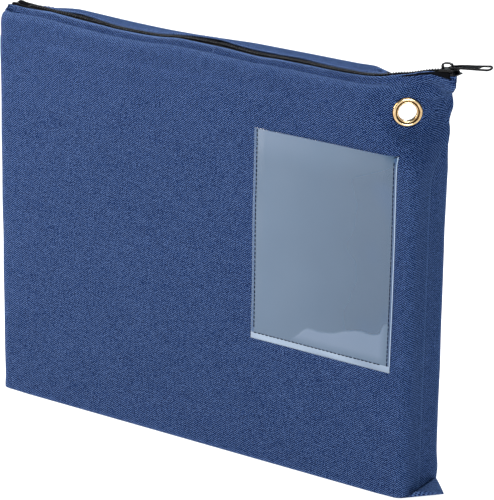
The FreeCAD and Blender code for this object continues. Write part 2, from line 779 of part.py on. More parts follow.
def card_window():
    """A clear film sewn to the front on three sides, open at the top."""
    front = -size["bag_depth"] / 2
    film = size["window_film"]
    left, base = size["window_left"], size["window_base"]
    right, top = left + size["window_width"], base + size["window_height"]
    block("window_film", (left, right), (front - film - 0.1, front - 0.1), (base, top))
    body = new_body("window_stitching")
    sketch = new_sketch(body, "window_seam", "XZ_Plane")
    side, low, thread = size["window_side_inset"], size["window_base_inset"], size["thread"]
    outline(sketch, [
        (left + side, top - 1), (left + side, base + low), (right - side, base + low),
        (right - side, top - 1), (right - side - thread, top - 1),
        (right - side - thread, base + low + thread), (left + side + thread, base + low + thread),
        (left + side + thread, top - 1),
    ])
    add_pad(body, sketch, thread)
    place_body(body, y=front - film - 0.12)


boxed_body()
bottom_ears()
mouth_lips()
left_corners()
right_corners()
zipper_strips()
zipper_stops()
slider()
pull_tab()
seal_grommet()
card_window()
doc.recompute()

failed = [obj.Name for obj in doc.Objects if "Invalid" in obj.State or "Error" in obj.State]
bad_shapes = [obj.Label for obj in nodes if obj.Shape.isNull() or not obj.Shape.isValid()]
if failed or bad_shapes:
    raise RuntimeError(f"failed objects {failed}, bad shapes {bad_shapes}")

os.makedirs("parts", exist_ok=True)
for obj in nodes:
    obj.Shape.exportStep(os.path.join("parts", obj.Label + ".step"))
print(len(nodes), "nodes written")
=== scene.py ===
import json
import math

import bmesh
import bpy
import numpy as np
from mathutils import Matrix, Vector


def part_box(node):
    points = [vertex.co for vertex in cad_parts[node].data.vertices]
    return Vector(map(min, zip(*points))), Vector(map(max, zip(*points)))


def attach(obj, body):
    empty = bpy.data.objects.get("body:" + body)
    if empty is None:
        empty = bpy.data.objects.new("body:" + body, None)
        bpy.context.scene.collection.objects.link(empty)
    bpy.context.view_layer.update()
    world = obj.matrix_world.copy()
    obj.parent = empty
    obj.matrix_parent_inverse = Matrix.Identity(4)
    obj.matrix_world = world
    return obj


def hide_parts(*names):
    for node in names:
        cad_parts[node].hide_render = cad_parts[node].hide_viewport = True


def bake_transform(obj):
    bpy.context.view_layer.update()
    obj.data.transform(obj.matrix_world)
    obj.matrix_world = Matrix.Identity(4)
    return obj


# The looks of the cash deposit bag. Shapes are worked out in millimetres and become metres when a
# mesh is made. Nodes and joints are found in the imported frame, and the curves further down lay
# the cloth and the zipper between them.
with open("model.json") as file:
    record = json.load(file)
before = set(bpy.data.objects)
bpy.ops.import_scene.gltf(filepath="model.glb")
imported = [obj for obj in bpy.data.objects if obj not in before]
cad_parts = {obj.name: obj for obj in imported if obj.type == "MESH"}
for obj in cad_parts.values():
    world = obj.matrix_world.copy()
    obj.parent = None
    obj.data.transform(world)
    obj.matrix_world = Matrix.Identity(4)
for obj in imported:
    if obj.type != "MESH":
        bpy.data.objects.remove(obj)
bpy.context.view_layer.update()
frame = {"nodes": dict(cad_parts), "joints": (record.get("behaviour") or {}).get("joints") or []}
MM = 0.001
RNG = np.random.default_rng(7)


def box_mm(node):
    low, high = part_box(node)
    return np.array(low) / MM, np.array(high) / MM


JOINTS = {joint["name"]: joint for joint in frame["joints"]}
PANEL_LOW, PANEL_HIGH = box_mm("front_panel")
HALF_W = PANEL_HIGH[0]
HALF_D = -PANEL_LOW[1]
FRONT_FOLD = JOINTS["front_lip_fold"]["pos_m"][2] / MM
BACK_FOLD = JOINTS["back_lip_fold"]["pos_m"][2] / MM
CLOTH = 0.7                # thickness
LIP_END = 150.0            # the lips hinge between minus this and the two ends below
FRONT_LIP_RIGHT = 150.0
BACK_LIP_RIGHT = 122.0
OVERLAP = 1.0              # how far shell and lip run under each other at their common line
TUCK = 0.03                # and how far one lies under the other
CELL = 2.4                 # width of a grid cell of the cloth
END = {True: "left", False: "right"}


# ------------------------------------------------------------------------------ small helpers

def pchip(knots, values, at):
    """Monotone cubic interpolation of values (first axis) from the knots to the points in at."""
    knots, values, at = (np.asarray(a, float) for a in (knots, values, at))
    gaps = np.diff(knots)
    column = (-1,) + (1,) * (values.ndim - 1)
    slope = np.diff(values, axis=0) / gaps.reshape(column)
    tangent = np.zeros_like(values)
    tangent[0], tangent[-1] = slope[0], slope[-1]
    first, second = slope[:-1], slope[1:]
    w1 = (2 * gaps[1:] + gaps[:-1]).reshape(column)
    w2 = (gaps[1:] + 2 * gaps[:-1]).reshape(column)
    same = first * second > 0
    safe = np.where(same, first, 1.0), np.where(same, second, 1.0)
    tangent[1:-1] = np.where(same, (w1 + w2) / (w1 / safe[0] + w2 / safe[1]), 0.0)
    i = np.clip(np.searchsorted(knots, at, side="right") - 1, 0, len(gaps) - 1)
    gap = gaps[i].reshape(column)
    t = ((at - knots[i]) / gaps[i]).reshape(column)
    return ((2 * t ** 3 - 3 * t ** 2 + 1) * values[i] + (t ** 3 - 2 * t ** 2 + t) * gap * tangent[i]
            + (3 * t ** 2 - 2 * t ** 3) * values[i + 1] + (t ** 3 - t ** 2) * gap * tangent[i + 1])


def curve(pairs, at):
    """A smooth function of one number through (place, value) pairs, level beyond both ends."""
    knots = [p[0] for p in pairs]
    at = np.clip(np.asarray(at, float), knots[0], knots[-1])
    return pchip(knots, np.array([p[1] for p in pairs], float), at.ravel()).reshape(at.shape)


def smoothstep(low, high, value):
    t = np.clip((np.asarray(value, float) - low) / (high - low), 0, 1)
    return t * t * (3 - 2 * t)


def lengths(points):
    """Distance along a polyline from its first point to each point."""
    steps = np.linalg.norm(np.diff(np.asarray(points, float), axis=0), axis=1)
    return np.concatenate([[0.0], np.cumsum(steps)])


def follow(knots, points, at):
    """Straight interpolation of points (one row to a knot) at the places in at."""
    return np.column_stack([np.interp(at, knots, column) for column in points.T])


def unit(vectors):
    return vectors / np.maximum(np.linalg.norm(vectors, axis=-1, keepdims=True), 1e-9)


def waves(points, seed, wavelength, count=9):
    """Soft random waves with no fixed direction, between about minus one and one."""
    rng = np.random.default_rng(seed)
    total = np.zeros(points.shape[:-1])
    for _ in range(count):
        direction = rng.normal(size=3)
        direction /= np.linalg.norm(direction)
        number = 2 * math.pi / (wavelength * rng.uniform(0.7, 1.6))
        total += np.sin(points @ direction * number + rng.uniform(0, 2 * math.pi))
    return total / math.sqrt(count)


def new_object(name, mesh, material):
    obj = bpy.data.objects.new(name, mesh)
    bpy.context.scene.collection.objects.link(obj)
    mesh.materials.append(material)
    return obj


def mark_points(mesh, name, values):
    """Stores one number per point for a material to read."""
    attribute = mesh.attributes.new(name, "FLOAT", "POINT")
    attribute.data.foreach_set("value", np.asarray(values).ravel().astype(np.float32))


def mesh_piece(name, points, faces, material, uvs=None):
    """A mesh from points in millimetres; uvs are one pair per point, in metres along the cloth.

    A third number beside a pair is the painted light there: painted highlight above 0, painted shade
    below 0.
    """
    mesh = bpy.data.meshes.new(name)
    mesh.from_pydata((np.asarray(points, float) * MM).tolist(), [],
                     [list(map(int, f)) for f in faces])
    mesh.validate()
    mesh.polygons.foreach_set("use_smooth", [True] * len(mesh.polygons))
    if uvs is not None:
        layer = mesh.uv_layers.new(name="cloth")
        corner = np.zeros(len(mesh.loops), int)
        mesh.loops.foreach_get("vertex_index", corner)
        uvs = np.asarray(uvs, float)
        layer.data.foreach_set("uv", uvs[corner, :2].ravel())
        if uvs.shape[1] > 2:
            mark_points(mesh, "painted_light", uvs[:, 2])
    mesh.update()
    return new_object(name, mesh, material)


def grid_faces(rows, columns, flip=False, keep=None):
    """Quads of a grid whose points are numbered row by row."""
    i, j = np.meshgrid(np.arange(rows - 1), np.arange(columns - 1), indexing="ij")
    if keep is not None:
        i, j = i[keep], j[keep]
    i, j = i.ravel(), j.ravel()
    a, b = i * columns + j, i * columns + j + 1
    c, d = b + columns, a + columns
    quads = np.stack([a, b, c, d], axis=1)
    return quads[:, ::-1] if flip else quads


def drop_loose(points, faces, uvs):
    """Keeps only the points that some face uses."""
    used, faces = np.unique(faces, return_inverse=True)
    return points[used], faces.reshape(-1, 4), uvs[used]


def ring_faces(rings, around, closed=False):
    """Quads between rings of points; closed also joins the last ring to the first."""
    faces = []
    for k in range(rings if closed else rings - 1):
        n = (k + 1) % rings
        for s in range(around):
            t = (s + 1) % around
            faces.append((k * around + s, k * around + t, n * around + t, n * around + s))
    return faces


def tube_mesh(path, radius, sides):
    """Points and faces of a tube along a path; radius may differ from point to point."""
    path = np.asarray(path, float)
    radius = np.broadcast_to(np.asarray(radius, float), (len(path),))
    along = unit(np.gradient(path, axis=0))
    side = np.zeros_like(path)
    last = np.cross(along[0], [0.3, 0.2, 1.0])
    for k, direction in enumerate(along):
        last = last - direction * (last @ direction)
        last = last / np.linalg.norm(last)
        side[k] = last
    other = np.cross(along, side)
    angles = 2 * math.pi * np.arange(sides) / sides
    ring = side[:, None] * np.cos(angles)[:, None] + other[:, None] * np.sin(angles)[:, None]
    points = (path[:, None] + ring * radius[:, None, None]).reshape(-1, 3)
    faces = ring_faces(len(path), sides)
    faces.append(tuple(range(sides))[::-1])
    faces.append(tuple((len(path) - 1) * sides + s for s in range(sides)))
    return points, faces


def join_meshes(parts):
    """One list of points and faces from several (points, faces)."""
    points, faces, start = [], [], 0
    for p, f in parts:
        points.append(p)
        faces += [tuple(v + start for v in face) for face in f]
        start += len(p)
    return np.concatenate(points), faces


def weld(obj, distance=0.01):
    """Merges points that coincide and turns every face outwards."""
    mesh = bmesh.new()
    mesh.from_mesh(obj.data)
    bmesh.ops.remove_doubles(mesh, verts=mesh.verts, dist=distance * MM)
    bmesh.ops.recalc_face_normals(mesh, faces=mesh.faces)
    mesh.to_mesh(obj.data)
    mesh.free()
    obj.data.update()


def stands_for(obj, slot, *nodes):
    """The piece is shown instead of these CAD nodes; slot is not used."""
    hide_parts(*nodes)
    return obj


def fixed(obj, slot, *nodes, body="root"):
    """A piece that rides whole on one body."""
    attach(obj, body)
    return stands_for(obj, slot, *nodes)


# ---------------------------------------------------------------------------------- materials

def node_material(name):
    material = bpy.data.materials.new(name)
    material.use_nodes = True
    tree = material.node_tree
    tree.nodes.clear()
    output = tree.nodes.new("ShaderNodeOutputMaterial")
    shader = tree.nodes.new("ShaderNodeBsdfPrincipled")
    tree.links.new(shader.outputs["BSDF"], output.inputs["Surface"])
    return material, tree, shader


def set_inputs(node, **values):
    """Sets sockets by name; an underscore stands for a space."""
    for key, value in values.items():
        node.inputs[key.replace("_", " ")].default_value = value


def attribute(tree, name):
    node = tree.nodes.new("ShaderNodeAttribute")
    node.attribute_name = name
    return node.outputs["Fac"]


def object_place(tree):
    return tree.nodes.new("ShaderNodeTexCoord").outputs["Object"]


def math_node(tree, operation, first, second=None, clamp=False):
    node = tree.nodes.new("ShaderNodeMath")
    node.operation = operation
    node.use_clamp = clamp
    for index, value in enumerate((first, second)):
        if value is None:
            continue
        if isinstance(value, (int, float)):
            node.inputs[index].default_value = value
        else:
            tree.links.new(value, node.inputs[index])
    return node.outputs[0]


def plus(tree, first, second, clamp=False):
    return math_node(tree, "ADD", first, second, clamp)


def times(tree, first, second):
    return math_node(tree, "MULTIPLY", first, second)


def ramp(tree, factor, stops):
    node = tree.nodes.new("ShaderNodeValToRGB")
    elements = node.color_ramp.elements
    while len(elements) < len(stops):
        elements.new(0.5)
    for element, (place, color) in zip(elements, stops):
        element.position = place
        element.color = (*color, 1)
    tree.links.new(factor, node.inputs["Fac"])
    return node.outputs["Color"]


def paint(tree, shader, level, stops):
    """Base colour by level, from (place, colour) stops."""
    tree.links.new(ramp(tree, level, stops), shader.inputs["Base Color"])


def roughen(tree, shader, level, base, spread):
    rough = plus(tree, times(tree, level, spread), base)
    tree.links.new(rough, shader.inputs["Roughness"])


def srgb(red, green, blue):
    """Linear colour from the usual 0 to 255 numbers."""
    def linear(value):
        value /= 255
        return value / 12.92 if value <= 0.04045 else ((value + 0.055) / 1.055) ** 2.4
    return tuple(linear(v) for v in (red, green, blue))


def bump(tree, shader, height, strength, distance):
    node = tree.nodes.new("ShaderNodeBump")
    set_inputs(node, Strength=strength, Distance=distance)
    tree.links.new(height, node.inputs["Height"])
    tree.links.new(node.outputs["Normal"], shader.inputs["Normal"])


def cloth_uv(tree):
    node = tree.nodes.new("ShaderNodeUVMap")
    node.uv_map = "cloth"
    split = tree.nodes.new("ShaderNodeSeparateXYZ")
    tree.links.new(node.outputs["UV"], split.inputs[0])
    return node.outputs["UV"], split.outputs[0], split.outputs[1]


def noise(tree, vector, scale, detail=2.0, stretch=(1.0, 1.0, 1.0)):
    mapping = tree.nodes.new("ShaderNodeMapping")
    mapping.inputs["Scale"].default_value = stretch
    tree.links.new(vector, mapping.inputs["Vector"])
    node = tree.nodes.new("ShaderNodeTexNoise")
    set_inputs(node, Scale=scale, Detail=detail, Roughness=0.6)
    tree.links.new(mapping.outputs[0], node.inputs["Vector"])
    return node.outputs["Fac"]


def canvas_material():
    """Navy plain-weave canvas: crossing threads, slubs, flecks and slow colour drift."""
    material, tree, shader = node_material("navy_canvas")
    vector, along, up = cloth_uv(tree)
    warp = math_node(tree, "SINE", times(tree, along, math.pi / 0.00124))
    weft = math_node(tree, "SINE", times(tree, up, math.pi / 0.00094))
    crossing = times(tree, warp, weft)
    slub_up = noise(tree, vector, 1100, stretch=(1.0, 0.10, 1.0))
    slub_along = noise(tree, vector, 1100, stretch=(0.10, 1.0, 1.0))
    fleck = noise(tree, vector, 1000, 1.0)
    cloud = noise(tree, vector, 22, 3.0)
    threads = times(tree, crossing, 0.58)
    slubs = times(tree, plus(tree, slub_up, slub_along), 0.50)
    grain = plus(tree, times(tree, fleck, 1.7), times(tree, cloud, 0.12))
    level = plus(tree, plus(tree, threads, slubs), grain)
    # painted highlight on outward folds and edges, painted shade in inward creases
    level = plus(tree, level, times(tree, attribute(tree, "painted_light"), 0.12))
    level = math_node(tree, "SUBTRACT", level, 0.92, clamp=True)
    paint(tree, shader, level, [(0.18, (0.0001, 0.0009, 0.0110)), (0.42, (0.0021, 0.0095, 0.043)),
                                (0.60, (0.0084, 0.0230, 0.079)), (0.88, (0.064, 0.099, 0.198))])
    set_inputs(shader, Roughness=0.9, Specular_IOR_Level=0.02, Sheen_Weight=0.12,
               Sheen_Roughness=0.5, Sheen_Tint=(0.22, 0.40, 0.80, 1.0))
    height = plus(tree, times(tree, crossing, 0.5), times(tree, fleck, 0.8))
    bump(tree, shader, height, 0.5, 0.0003)
    return material


def speckled_material(name, dark, light, scale, roughness, strength=0.25, specular=0.5):
    """A moulded or painted finish: fine grain in colour and height, broad drift in roughness."""
    material, tree, shader = node_material(name)
    place = object_place(tree)
    grain = noise(tree, place, scale, 3.0)
    drift = noise(tree, place, scale / 12)
    level = plus(tree, times(tree, grain, 0.6), times(tree, drift, 0.4))
    paint(tree, shader, level, [(0.35, dark), (0.65, light)])
    roughen(tree, shader, drift, roughness[0], roughness[1] - roughness[0])
    set_inputs(shader, Specular_IOR_Level=specular)
    bump(tree, shader, grain, strength, 0.0001)
    return material


def coil_material():
    """Black nylon wire with a painted grey highlight on the crown of each tooth."""
    material, tree, shader = node_material("black_nylon_coil")
    grain = noise(tree, object_place(tree), 900)
    level = times(tree, attribute(tree, "tooth_glint"), plus(tree, grain, 0.35))
    paint(tree, shader, level, [(0.0, srgb(1, 1, 3)), (0.4, srgb(4, 4, 6)),
                                (0.95, srgb(190, 192, 200))])
    roughen(tree, shader, grain, 0.12, 0.1)
    set_inputs(shader, Specular_IOR_Level=0.14)
    return material


def tape_material():
    """Black twill tape with fine ribs across it."""
    material, tree, shader = node_material("black_tape")
    vector, along, up = cloth_uv(tree)
    ribs = math_node(tree, "SINE", times(tree, along, 2 * math.pi / 0.0011))
    cross = math_node(tree, "SINE", times(tree, up, 2 * math.pi / 0.0009))
    weave = times(tree, ribs, cross)
    fuzz = noise(tree, vector, 1500)
    level = plus(tree, times(tree, weave, 0.25), fuzz)
    paint(tree, shader, level, [(0.3, srgb(1, 1, 3)), (0.8, srgb(7, 8, 12))])
    set_inputs(shader, Roughness=0.8, Specular_IOR_Level=0.04)
    bump(tree, shader, level, 0.5, 0.0002)
    return material


def vinyl_material():
    """Clear film whose colour and opacity follow painted reflections and painted shade held for each
    point.
    """
    material, tree, shader = node_material("clear_vinyl")
    place = object_place(tree)
    drift = noise(tree, place, 16)
    drift = times(tree, math_node(tree, "SUBTRACT", drift, 0.5), 0.10)
    level = plus(tree, attribute(tree, "painted_film_light"), drift, clamp=True)
    paint(tree, shader, level, [(0.0, (0.020, 0.045, 0.110)), (0.10, (0.040, 0.080, 0.160)),
                                (0.16, (0.045, 0.074, 0.118)), (0.30, (0.058, 0.092, 0.142)),
                                (0.50, (0.088, 0.120, 0.176)), (0.80, (0.22, 0.27, 0.34)),
                                (1.0, (0.34, 0.40, 0.48))])
    opacity = plus(tree, times(tree, level, 0.50), 0.76, clamp=True)
    tree.links.new(opacity, shader.inputs["Alpha"])
    set_inputs(shader, Roughness=0.22, IOR=1.5, Coat_Weight=0.3, Coat_Roughness=0.1)
    ripple = noise(tree, place, 30, stretch=(1.0, 1.0, 0.5))
    bump(tree, shader, ripple, 0.25, 0.0006)
    return material


def brass_material():
    """Polished brass, darkened with painted shade in its groove and along the rim's edge."""
    material, tree, shader = node_material("polished_brass")
    tarnish = noise(tree, object_place(tree), 260, 3.0)
    level = math_node(tree, "SUBTRACT", tarnish, attribute(tree, "painted_ring_shade"), clamp=True)
    paint(tree, shader, level, [(0.0, (0.08, 0.04, 0.015)), (0.3, (0.42, 0.25, 0.10)),
                                (0.7, (0.80, 0.60, 0.36))])
    set_inputs(shader, Metallic=1.0)
    roughen(tree, shader, tarnish, 0.16, 0.16)
    bump(tree, shader, tarnish, 0.02, 0.0001)
    return material


CANVAS = canvas_material()
TAPE = tape_material()
COIL = coil_material()
STOP = speckled_material("dark_nylon_stop", srgb(1, 1, 3), srgb(5, 5, 8), 500, (0.35, 0.55),
                         specular=0.15)
BLACK_PAINT = speckled_material("black_enamel", srgb(2, 2, 3), srgb(6, 6, 8), 700, (0.14, 0.28),
                                strength=0.1, specular=0.14)
BLUE_THREAD = speckled_material("blue_thread", srgb(20, 36, 76), srgb(42, 62, 108), 2500,
                                (0.6, 0.8), strength=0.4, specular=0.1)
NAVY_THREAD = speckled_material("navy_thread", srgb(2, 4, 16), srgb(8, 14, 36), 2500, (0.6, 0.8),
                                strength=0.4, specular=0.08)
VINYL = vinyl_material()
BRASS = brass_material()


# ------------------------------------------------------------------------ the shape of the bag

def front_edge_height(x):
    """Height of the front lip's folded edge along the mouth."""
    return curve([(-208, 341.4), (-200, 340.7), (-189, 340.2), (-178, 340.4), (-168, 340.8),
                  (-157, 340.2), (-136, 338.9), (-115, 338.0), (-95, 337.1), (-74, 337.1),
                  (-54, 337.9), (-34, 339.8), (-14, 339.6), (6, 339.4), (25, 338.5), (44, 337.7),
                  (64, 338.5), (83, 338.5), (102, 338.3), (120, 338.2), (139, 338.8), (157, 340.9),
                  (174, 345.2), (183, 347.2), (192, 350.1), (201, 352.0)], x)


def back_edge_height(x):
    """The same for the back lip."""
    return curve([(-205, 341.6), (-198, 341.3), (-188, 341.2), (-177, 341.0), (-166, 341.2),
                  (-145, 342.0), (-124, 340.0), (-104, 338.3), (-83, 338.1), (-63, 338.6),
                  (-43, 340.8), (-23, 342.3), (-3, 343.0), (17, 341.1), (36, 340.2), (56, 340.2),
                  (75, 340.7), (94, 340.0), (113, 339.5), (131, 339.6), (150, 341.0), (165, 342.0),
                  (176, 343.8), (188, 346.4), (203, 350.2)], x)


def back_shoulder_height(x):
    """Height of the rounded top of the back, behind the zipper."""
    return curve([(-205, 333.8), (-190, 335.4), (-181, 336.6), (-168, 338.2), (-158, 339.2),
                  (-142, 338.8), (-126, 338.2), (-95, 337.3), (-65, 336.9), (-34, 337.3),
                  (-4, 338.5), (25, 339.4), (54, 339.4), (120, 339.5), (139, 341.0), (158, 341.8),
                  (175, 341), (200, 344)], x)


def zipper_height(x):
    """Height of the coil's middle line, from the left end to the slider."""
    return curve([(-212, 343.4), (-205, 342.6), (-194, 341.9), (-186, 341.4), (-178, 340.9),
                  (-170, 340.3), (-162, 340.0), (-141, 339.5), (-120, 338.1), (-99, 336.8),
                  (-79, 336.7), (-58, 337.2), (-38, 339.4), (-18, 340.1), (1, 340.3), (21, 338.9),
                  (40, 338.0), (60, 338.3), (79, 338.6), (98, 338.1), (116, 337.9), (135, 338.3),
                  (153, 340.3), (162, 342.6), (170, 344.6), (180, 346.6), (188, 348.9),
                  (197, 351.6), (206, 353.4), (216.8, 354.3), (222, 354.5)], x)


def seam_right(z):
    """The right side seam: up the middle of the side, back to its rear fold, out to the zipper."""
    levels = [0, 150, 250, 262, 276, 290, 300, 308, 313, 319, 325, 329, 332.5, 336, 339, 343, 352]
    x = [203.9, 203.5, 203.1, 203.0, 203.6, 205.2, 205.4, 204.2, 204.6, 206.2, 206.3, 206.2,
         209.0, 215.2, 219.6, 222.0, 221.8]
    y = [0, 0, 0, 1.5, 8, 17, 22, 23.4, 23.8, 24.0, 23.4, 22.2, 17.0, 7.0, 1.5, 0, 0]
    return curve(list(zip(levels, x)), z), curve(list(zip(levels, y)), z)


def seam_left(z):
    """The left side seam: up the middle of the side, then forward to the zipper."""
    levels = [0, 150, 288, 300, 318, 326, 332, 338, 343]
    x = [-204.6, -205.6, -206.6, -207.4, -210.2, -211.8, -212.4, -210.8, -206.4]
    y = [0, 0, 0, -0.6, -4.2, -7.6, -10.4, -11.4, -9.0]
    return curve(list(zip(levels, x)), z), curve(list(zip(levels, y)), z)


def left_swell(z):
    """How far the filled bag stands out to the left of its pattern, up the left front fold."""
    return curve([(0, 2.6), (30, 3.2), (60, 2.7), (110, 3.1), (155, 3.5), (200, 4.1), (280, 4.5),
                  (310, 5.2), (325, 6.6), (332, 6.8)], z)


def right_swell(z):
    """The same along the fold at the back of the right side."""
    return curve([(0, 2.4), (9, 2.5), (25, 1.4), (45, 1.6), (114, 1.9), (157, 1.1), (199, 0.4),
                  (220, -0.1), (241, -0.2), (256, 0.0), (268, 0.5), (280, 1.9), (291, 2.8),
                  (306, 1.2)], z)


# Columns of the front from the left seam to the right one: the boxed outline, the hinge line,
# the folded edge, and how squarely the lip turns over between them.
NAN = float("nan")
FRONT_COLUMNS = [
    ((-HALF_W, 0), (-208.8, -4.2), (-206.0, -9.0, 341.6), 0.55),
    ((-HALF_W, -10), (-208.5, -12.4), (-204.6, -8.8, 341.3), 0.75),
    ((-HALF_W, -21.0), (-207.4, -20.3), (-202.4, -8.2, 341.2), 0.9),
    ((-HALF_W + 1.0, -24.4), (-205.9, -24.2), (-199.3, -7.5, 340.6), 1.0),
    ((-HALF_W + 4.2, -HALF_D), (-201.8, -25.3), (-194.6, -6.9, 340.2), 1.0),
    ((-180, -HALF_D), (-180, -HALF_D), (-180, -6.4, NAN), 1.0),
    ((-150, -HALF_D), (-150, -HALF_D), (-150, -6.3, NAN), 1.0),
    ((110, -HALF_D), (110, -HALF_D), (110, -6.3, NAN), 1.0),
    ((150, -HALF_D), (150, -25.3), (150, -6.3, NAN), 0.85),
    ((174, -HALF_D), (172, -19.2), (173, -5.8, NAN), 0.4),
    ((187, -HALF_D), (185, -9.4), (187, -5.3, NAN), 0.12),
    ((HALF_W - 8, -HALF_D), (194.5, -1.9), (197, -5.0, NAN), 0.0),
    ((HALF_W - 2.6, -HALF_D + 2.6), (198.4, 4.2), (202.5, -4.8, 352.1), 0.0),
    ((HALF_W, -HALF_D + 8), (201.0, 10.0), (208, -4.8, 352.0), 0.0),
    ((HALF_W, -9), (203.6, 17.0), (214.5, -4.6, 351.6), 0.0),
    ((HALF_W, 0), (205.6, 23.0), (221.8, -2.6, 351.2), 0.0),
]
# The back has one row of places more, at the height of the front's hinge line.
BACK_COLUMNS = [
    ((-HALF_W, 0), (-211.6, -10.4), (-207.6, -8.6, 341.4), 0.3, (-208.6, -4.2)),
    ((-HALF_W, 10), (-211.8, -2.5), (-206.8, -3.5, 341.0), 0.4, (-208.0, 6.0)),
    ((-HALF_W, 19.4), (-209.0, 8.0), (-205.0, 1.8, 340.6), 0.5, (-207.0, 15.0)),
    ((-HALF_W + 1.6, 23.8), (-205.0, 17.0), (-201.3, 4.7, 340.4), 0.7, (-204.4, 22.0)),
    ((-HALF_W + 6.0, HALF_D), (-198.5, 22.8), (-196.8, 6.1, 340.4), 0.9, (-198.6, 25.0)),
    ((-180, HALF_D), (-180, 25.2), (-180, 6.3, NAN), 1.0, (-180, HALF_D)),
    ((-150, HALF_D), (-150, HALF_D), (-150, 6.3, NAN), 1.0, (-150, HALF_D)),
    ((110, HALF_D), (110, HALF_D), (110, 6.3, NAN), 1.0, (110, HALF_D)),
    ((122, HALF_D), (122, 25.4), (122, 6.3, NAN), 1.0, (122, HALF_D)),
    ((136, HALF_D), (138.5, 25.2), (137, 6.1, NAN), 1.0, (136.5, 24.2)),
    ((150, HALF_D), (153.0, 23.8), (151, 5.9, NAN), 0.9, (150, 18.0)),
    ((163, HALF_D), (162.0, 18.5), (164, 5.6, NAN), 0.5, (160, 5.0)),
    ((176, HALF_D), (173.0, 8.0), (175, 5.3, NAN), 0.2, (170, -10.5)),
    ((186, HALF_D), (182.5, 2.2), (184, 5.0, NAN), 0.0, (180, -10.0)),
    ((193, HALF_D), (190.5, 0.6), (192, 4.8, NAN), 0.0, (188.5, -3.0)),
    ((HALF_W - 4, HALF_D), (196.6, 2.0), (198.5, 4.6, 349.0), 0.0, (194.0, 2.6)),
    ((HALF_W - 0.6, HALF_D - 0.6), (200.0, 5.0), (203, 4.4, 349.4), 0.0, (198.0, 8.8)),
    ((HALF_W, HALF_D - 4), (203.0, 8.5), (208, 4.2, 349.6), 0.0, (200.4, 13.6)),
    ((HALF_W, 11), (206.4, 12.0), (214.5, 3.9, 349.8), 0.0, (203.4, 19.6)),
    ((HALF_W, 0), (209.5, 16.0), (221.8, 2.0, 350.0), 0.0, (205.8, 24.0)),
]
# How the lips turn over: share of the way in, share of the way up.
FRONT_TURN = [(0, 0), (0.0, 0.42), (0.02, 0.64), (0.08, 0.80), (0.18, 0.90), (0.28, 0.925),
              (0.38, 0.895), (0.52, 0.81), (0.68, 0.755), (0.82, 0.755), (0.93, 0.85), (1, 1)]
BACK_TURN = [(0, 0), (0.002, 0.36), (0.03, 0.70), (0.09, 0.93), (0.16, 1.0), (0.30, 0.95),
             (0.54, 0.84), (0.74, 0.83), (0.90, 0.93), (1, 1)]
# What differs between front (-1) and back (1): reach is how far a lip turns in and up, leave the
# levels where the right end of the wall begins and finishes leaving the box, each with its change
# towards the corner, free how far right the folded edge follows its curve, and depth how far
# behind the front layer the cloth passes at the grommet.
SIDES = {
    -1: {"columns": FRONT_COLUMNS, "fold": FRONT_FOLD, "turn": FRONT_TURN,
         "edge": front_edge_height, "lip_right": FRONT_LIP_RIGHT, "reach": (19.1, 20.5),
         "leave": (284, -12, 318, -6), "free": 197, "depth": 0.0},
    1: {"columns": BACK_COLUMNS, "fold": BACK_FOLD, "turn": BACK_TURN,
        "edge": back_edge_height, "lip_right": BACK_LIP_RIGHT, "reach": (19.1, 6.5),
        "leave": (252, 34, 302, 20), "free": 192, "depth": 2.9},
}
HEM_ROLL = 0.75            # radius of the lip's folded edge
HEM_UNDER = 5.0            # cloth turned back under it
BASE_ROUND = 1.0           # radius of the base's edge
BASE_SAG = -0.3            # the filled bag's underside settles this low

GROMMET_LOW, GROMMET_HIGH = box_mm("grommet")
GROMMET_TURN = math.radians(38.0)
GROMMET_OUT = np.array([math.sin(GROMMET_TURN), -math.cos(GROMMET_TURN), 0.0])
GROMMET_ALONG = np.array([math.cos(GROMMET_TURN), math.sin(GROMMET_TURN), 0.0])
GROMMET_RIM = (GROMMET_HIGH[2] - GROMMET_LOW[2]) / 2
GROMMET_FRONT = 1.85       # the flange's crown stands this far out of the cloth
GROMMET_BACK = 4.35        # and the barrel this far behind it
GROMMET_CENTRE = ((GROMMET_LOW + GROMMET_HIGH) / 2
                  - GROMMET_OUT * (GROMMET_FRONT - GROMMET_BACK) / 2)
CLOTH_HOLE = 9.4           # radius of the hole cut for it


def grommet_flat(points, depth):
    """Presses the cloth flat under the grommet's flange, depth behind the front layer."""
    offset = points - GROMMET_CENTRE
    distance = offset @ GROMMET_OUT
    radial = np.linalg.norm(offset - distance[..., None] * GROMMET_OUT, axis=-1)
    press = 1 - smoothstep(13.0 + depth, 24.0 + 2 * depth, radial)
    return points - ((distance + depth) * press)[..., None] * GROMMET_OUT


def grid_places(knots, outline, lip_right):
    """Where the grid's columns lie round the outline, and where the lip starts and stops."""
    start, stop = (np.interp(x, outline[:, 0], knots) for x in (-LIP_END, lip_right))
    marks = [start - OVERLAP, start, start + OVERLAP, stop - OVERLAP, stop, stop + OVERLAP]
    places = np.arange(0, knots[-1] + 0.01, knots[-1] / round(knots[-1] / CELL))
    places = places[[min(abs(p - m) for m in marks) > 0.45 * CELL for p in places]]
    return np.sort(np.concatenate([places, marks])), start, stop


def base_rows(boxed):
    """Rows in under the base and round its edge."""
    rings = [(BASE_ROUND + inset, BASE_SAG) for inset in (9, 6, 3)]
    rings += [(BASE_ROUND * (1 - math.sin(a)),
               BASE_SAG + (BASE_ROUND - BASE_SAG) * (1 - math.cos(a)))
              for a in np.linspace(0, math.pi / 2, 6)]
    rows = []
    for inset, height in rings:
        shrink = ((HALF_W - inset) / HALF_W, (HALF_D - inset) / HALF_D)
        rows.append(np.column_stack([swollen(boxed, 0) * shrink, np.full(len(boxed), height)]))
    return rows


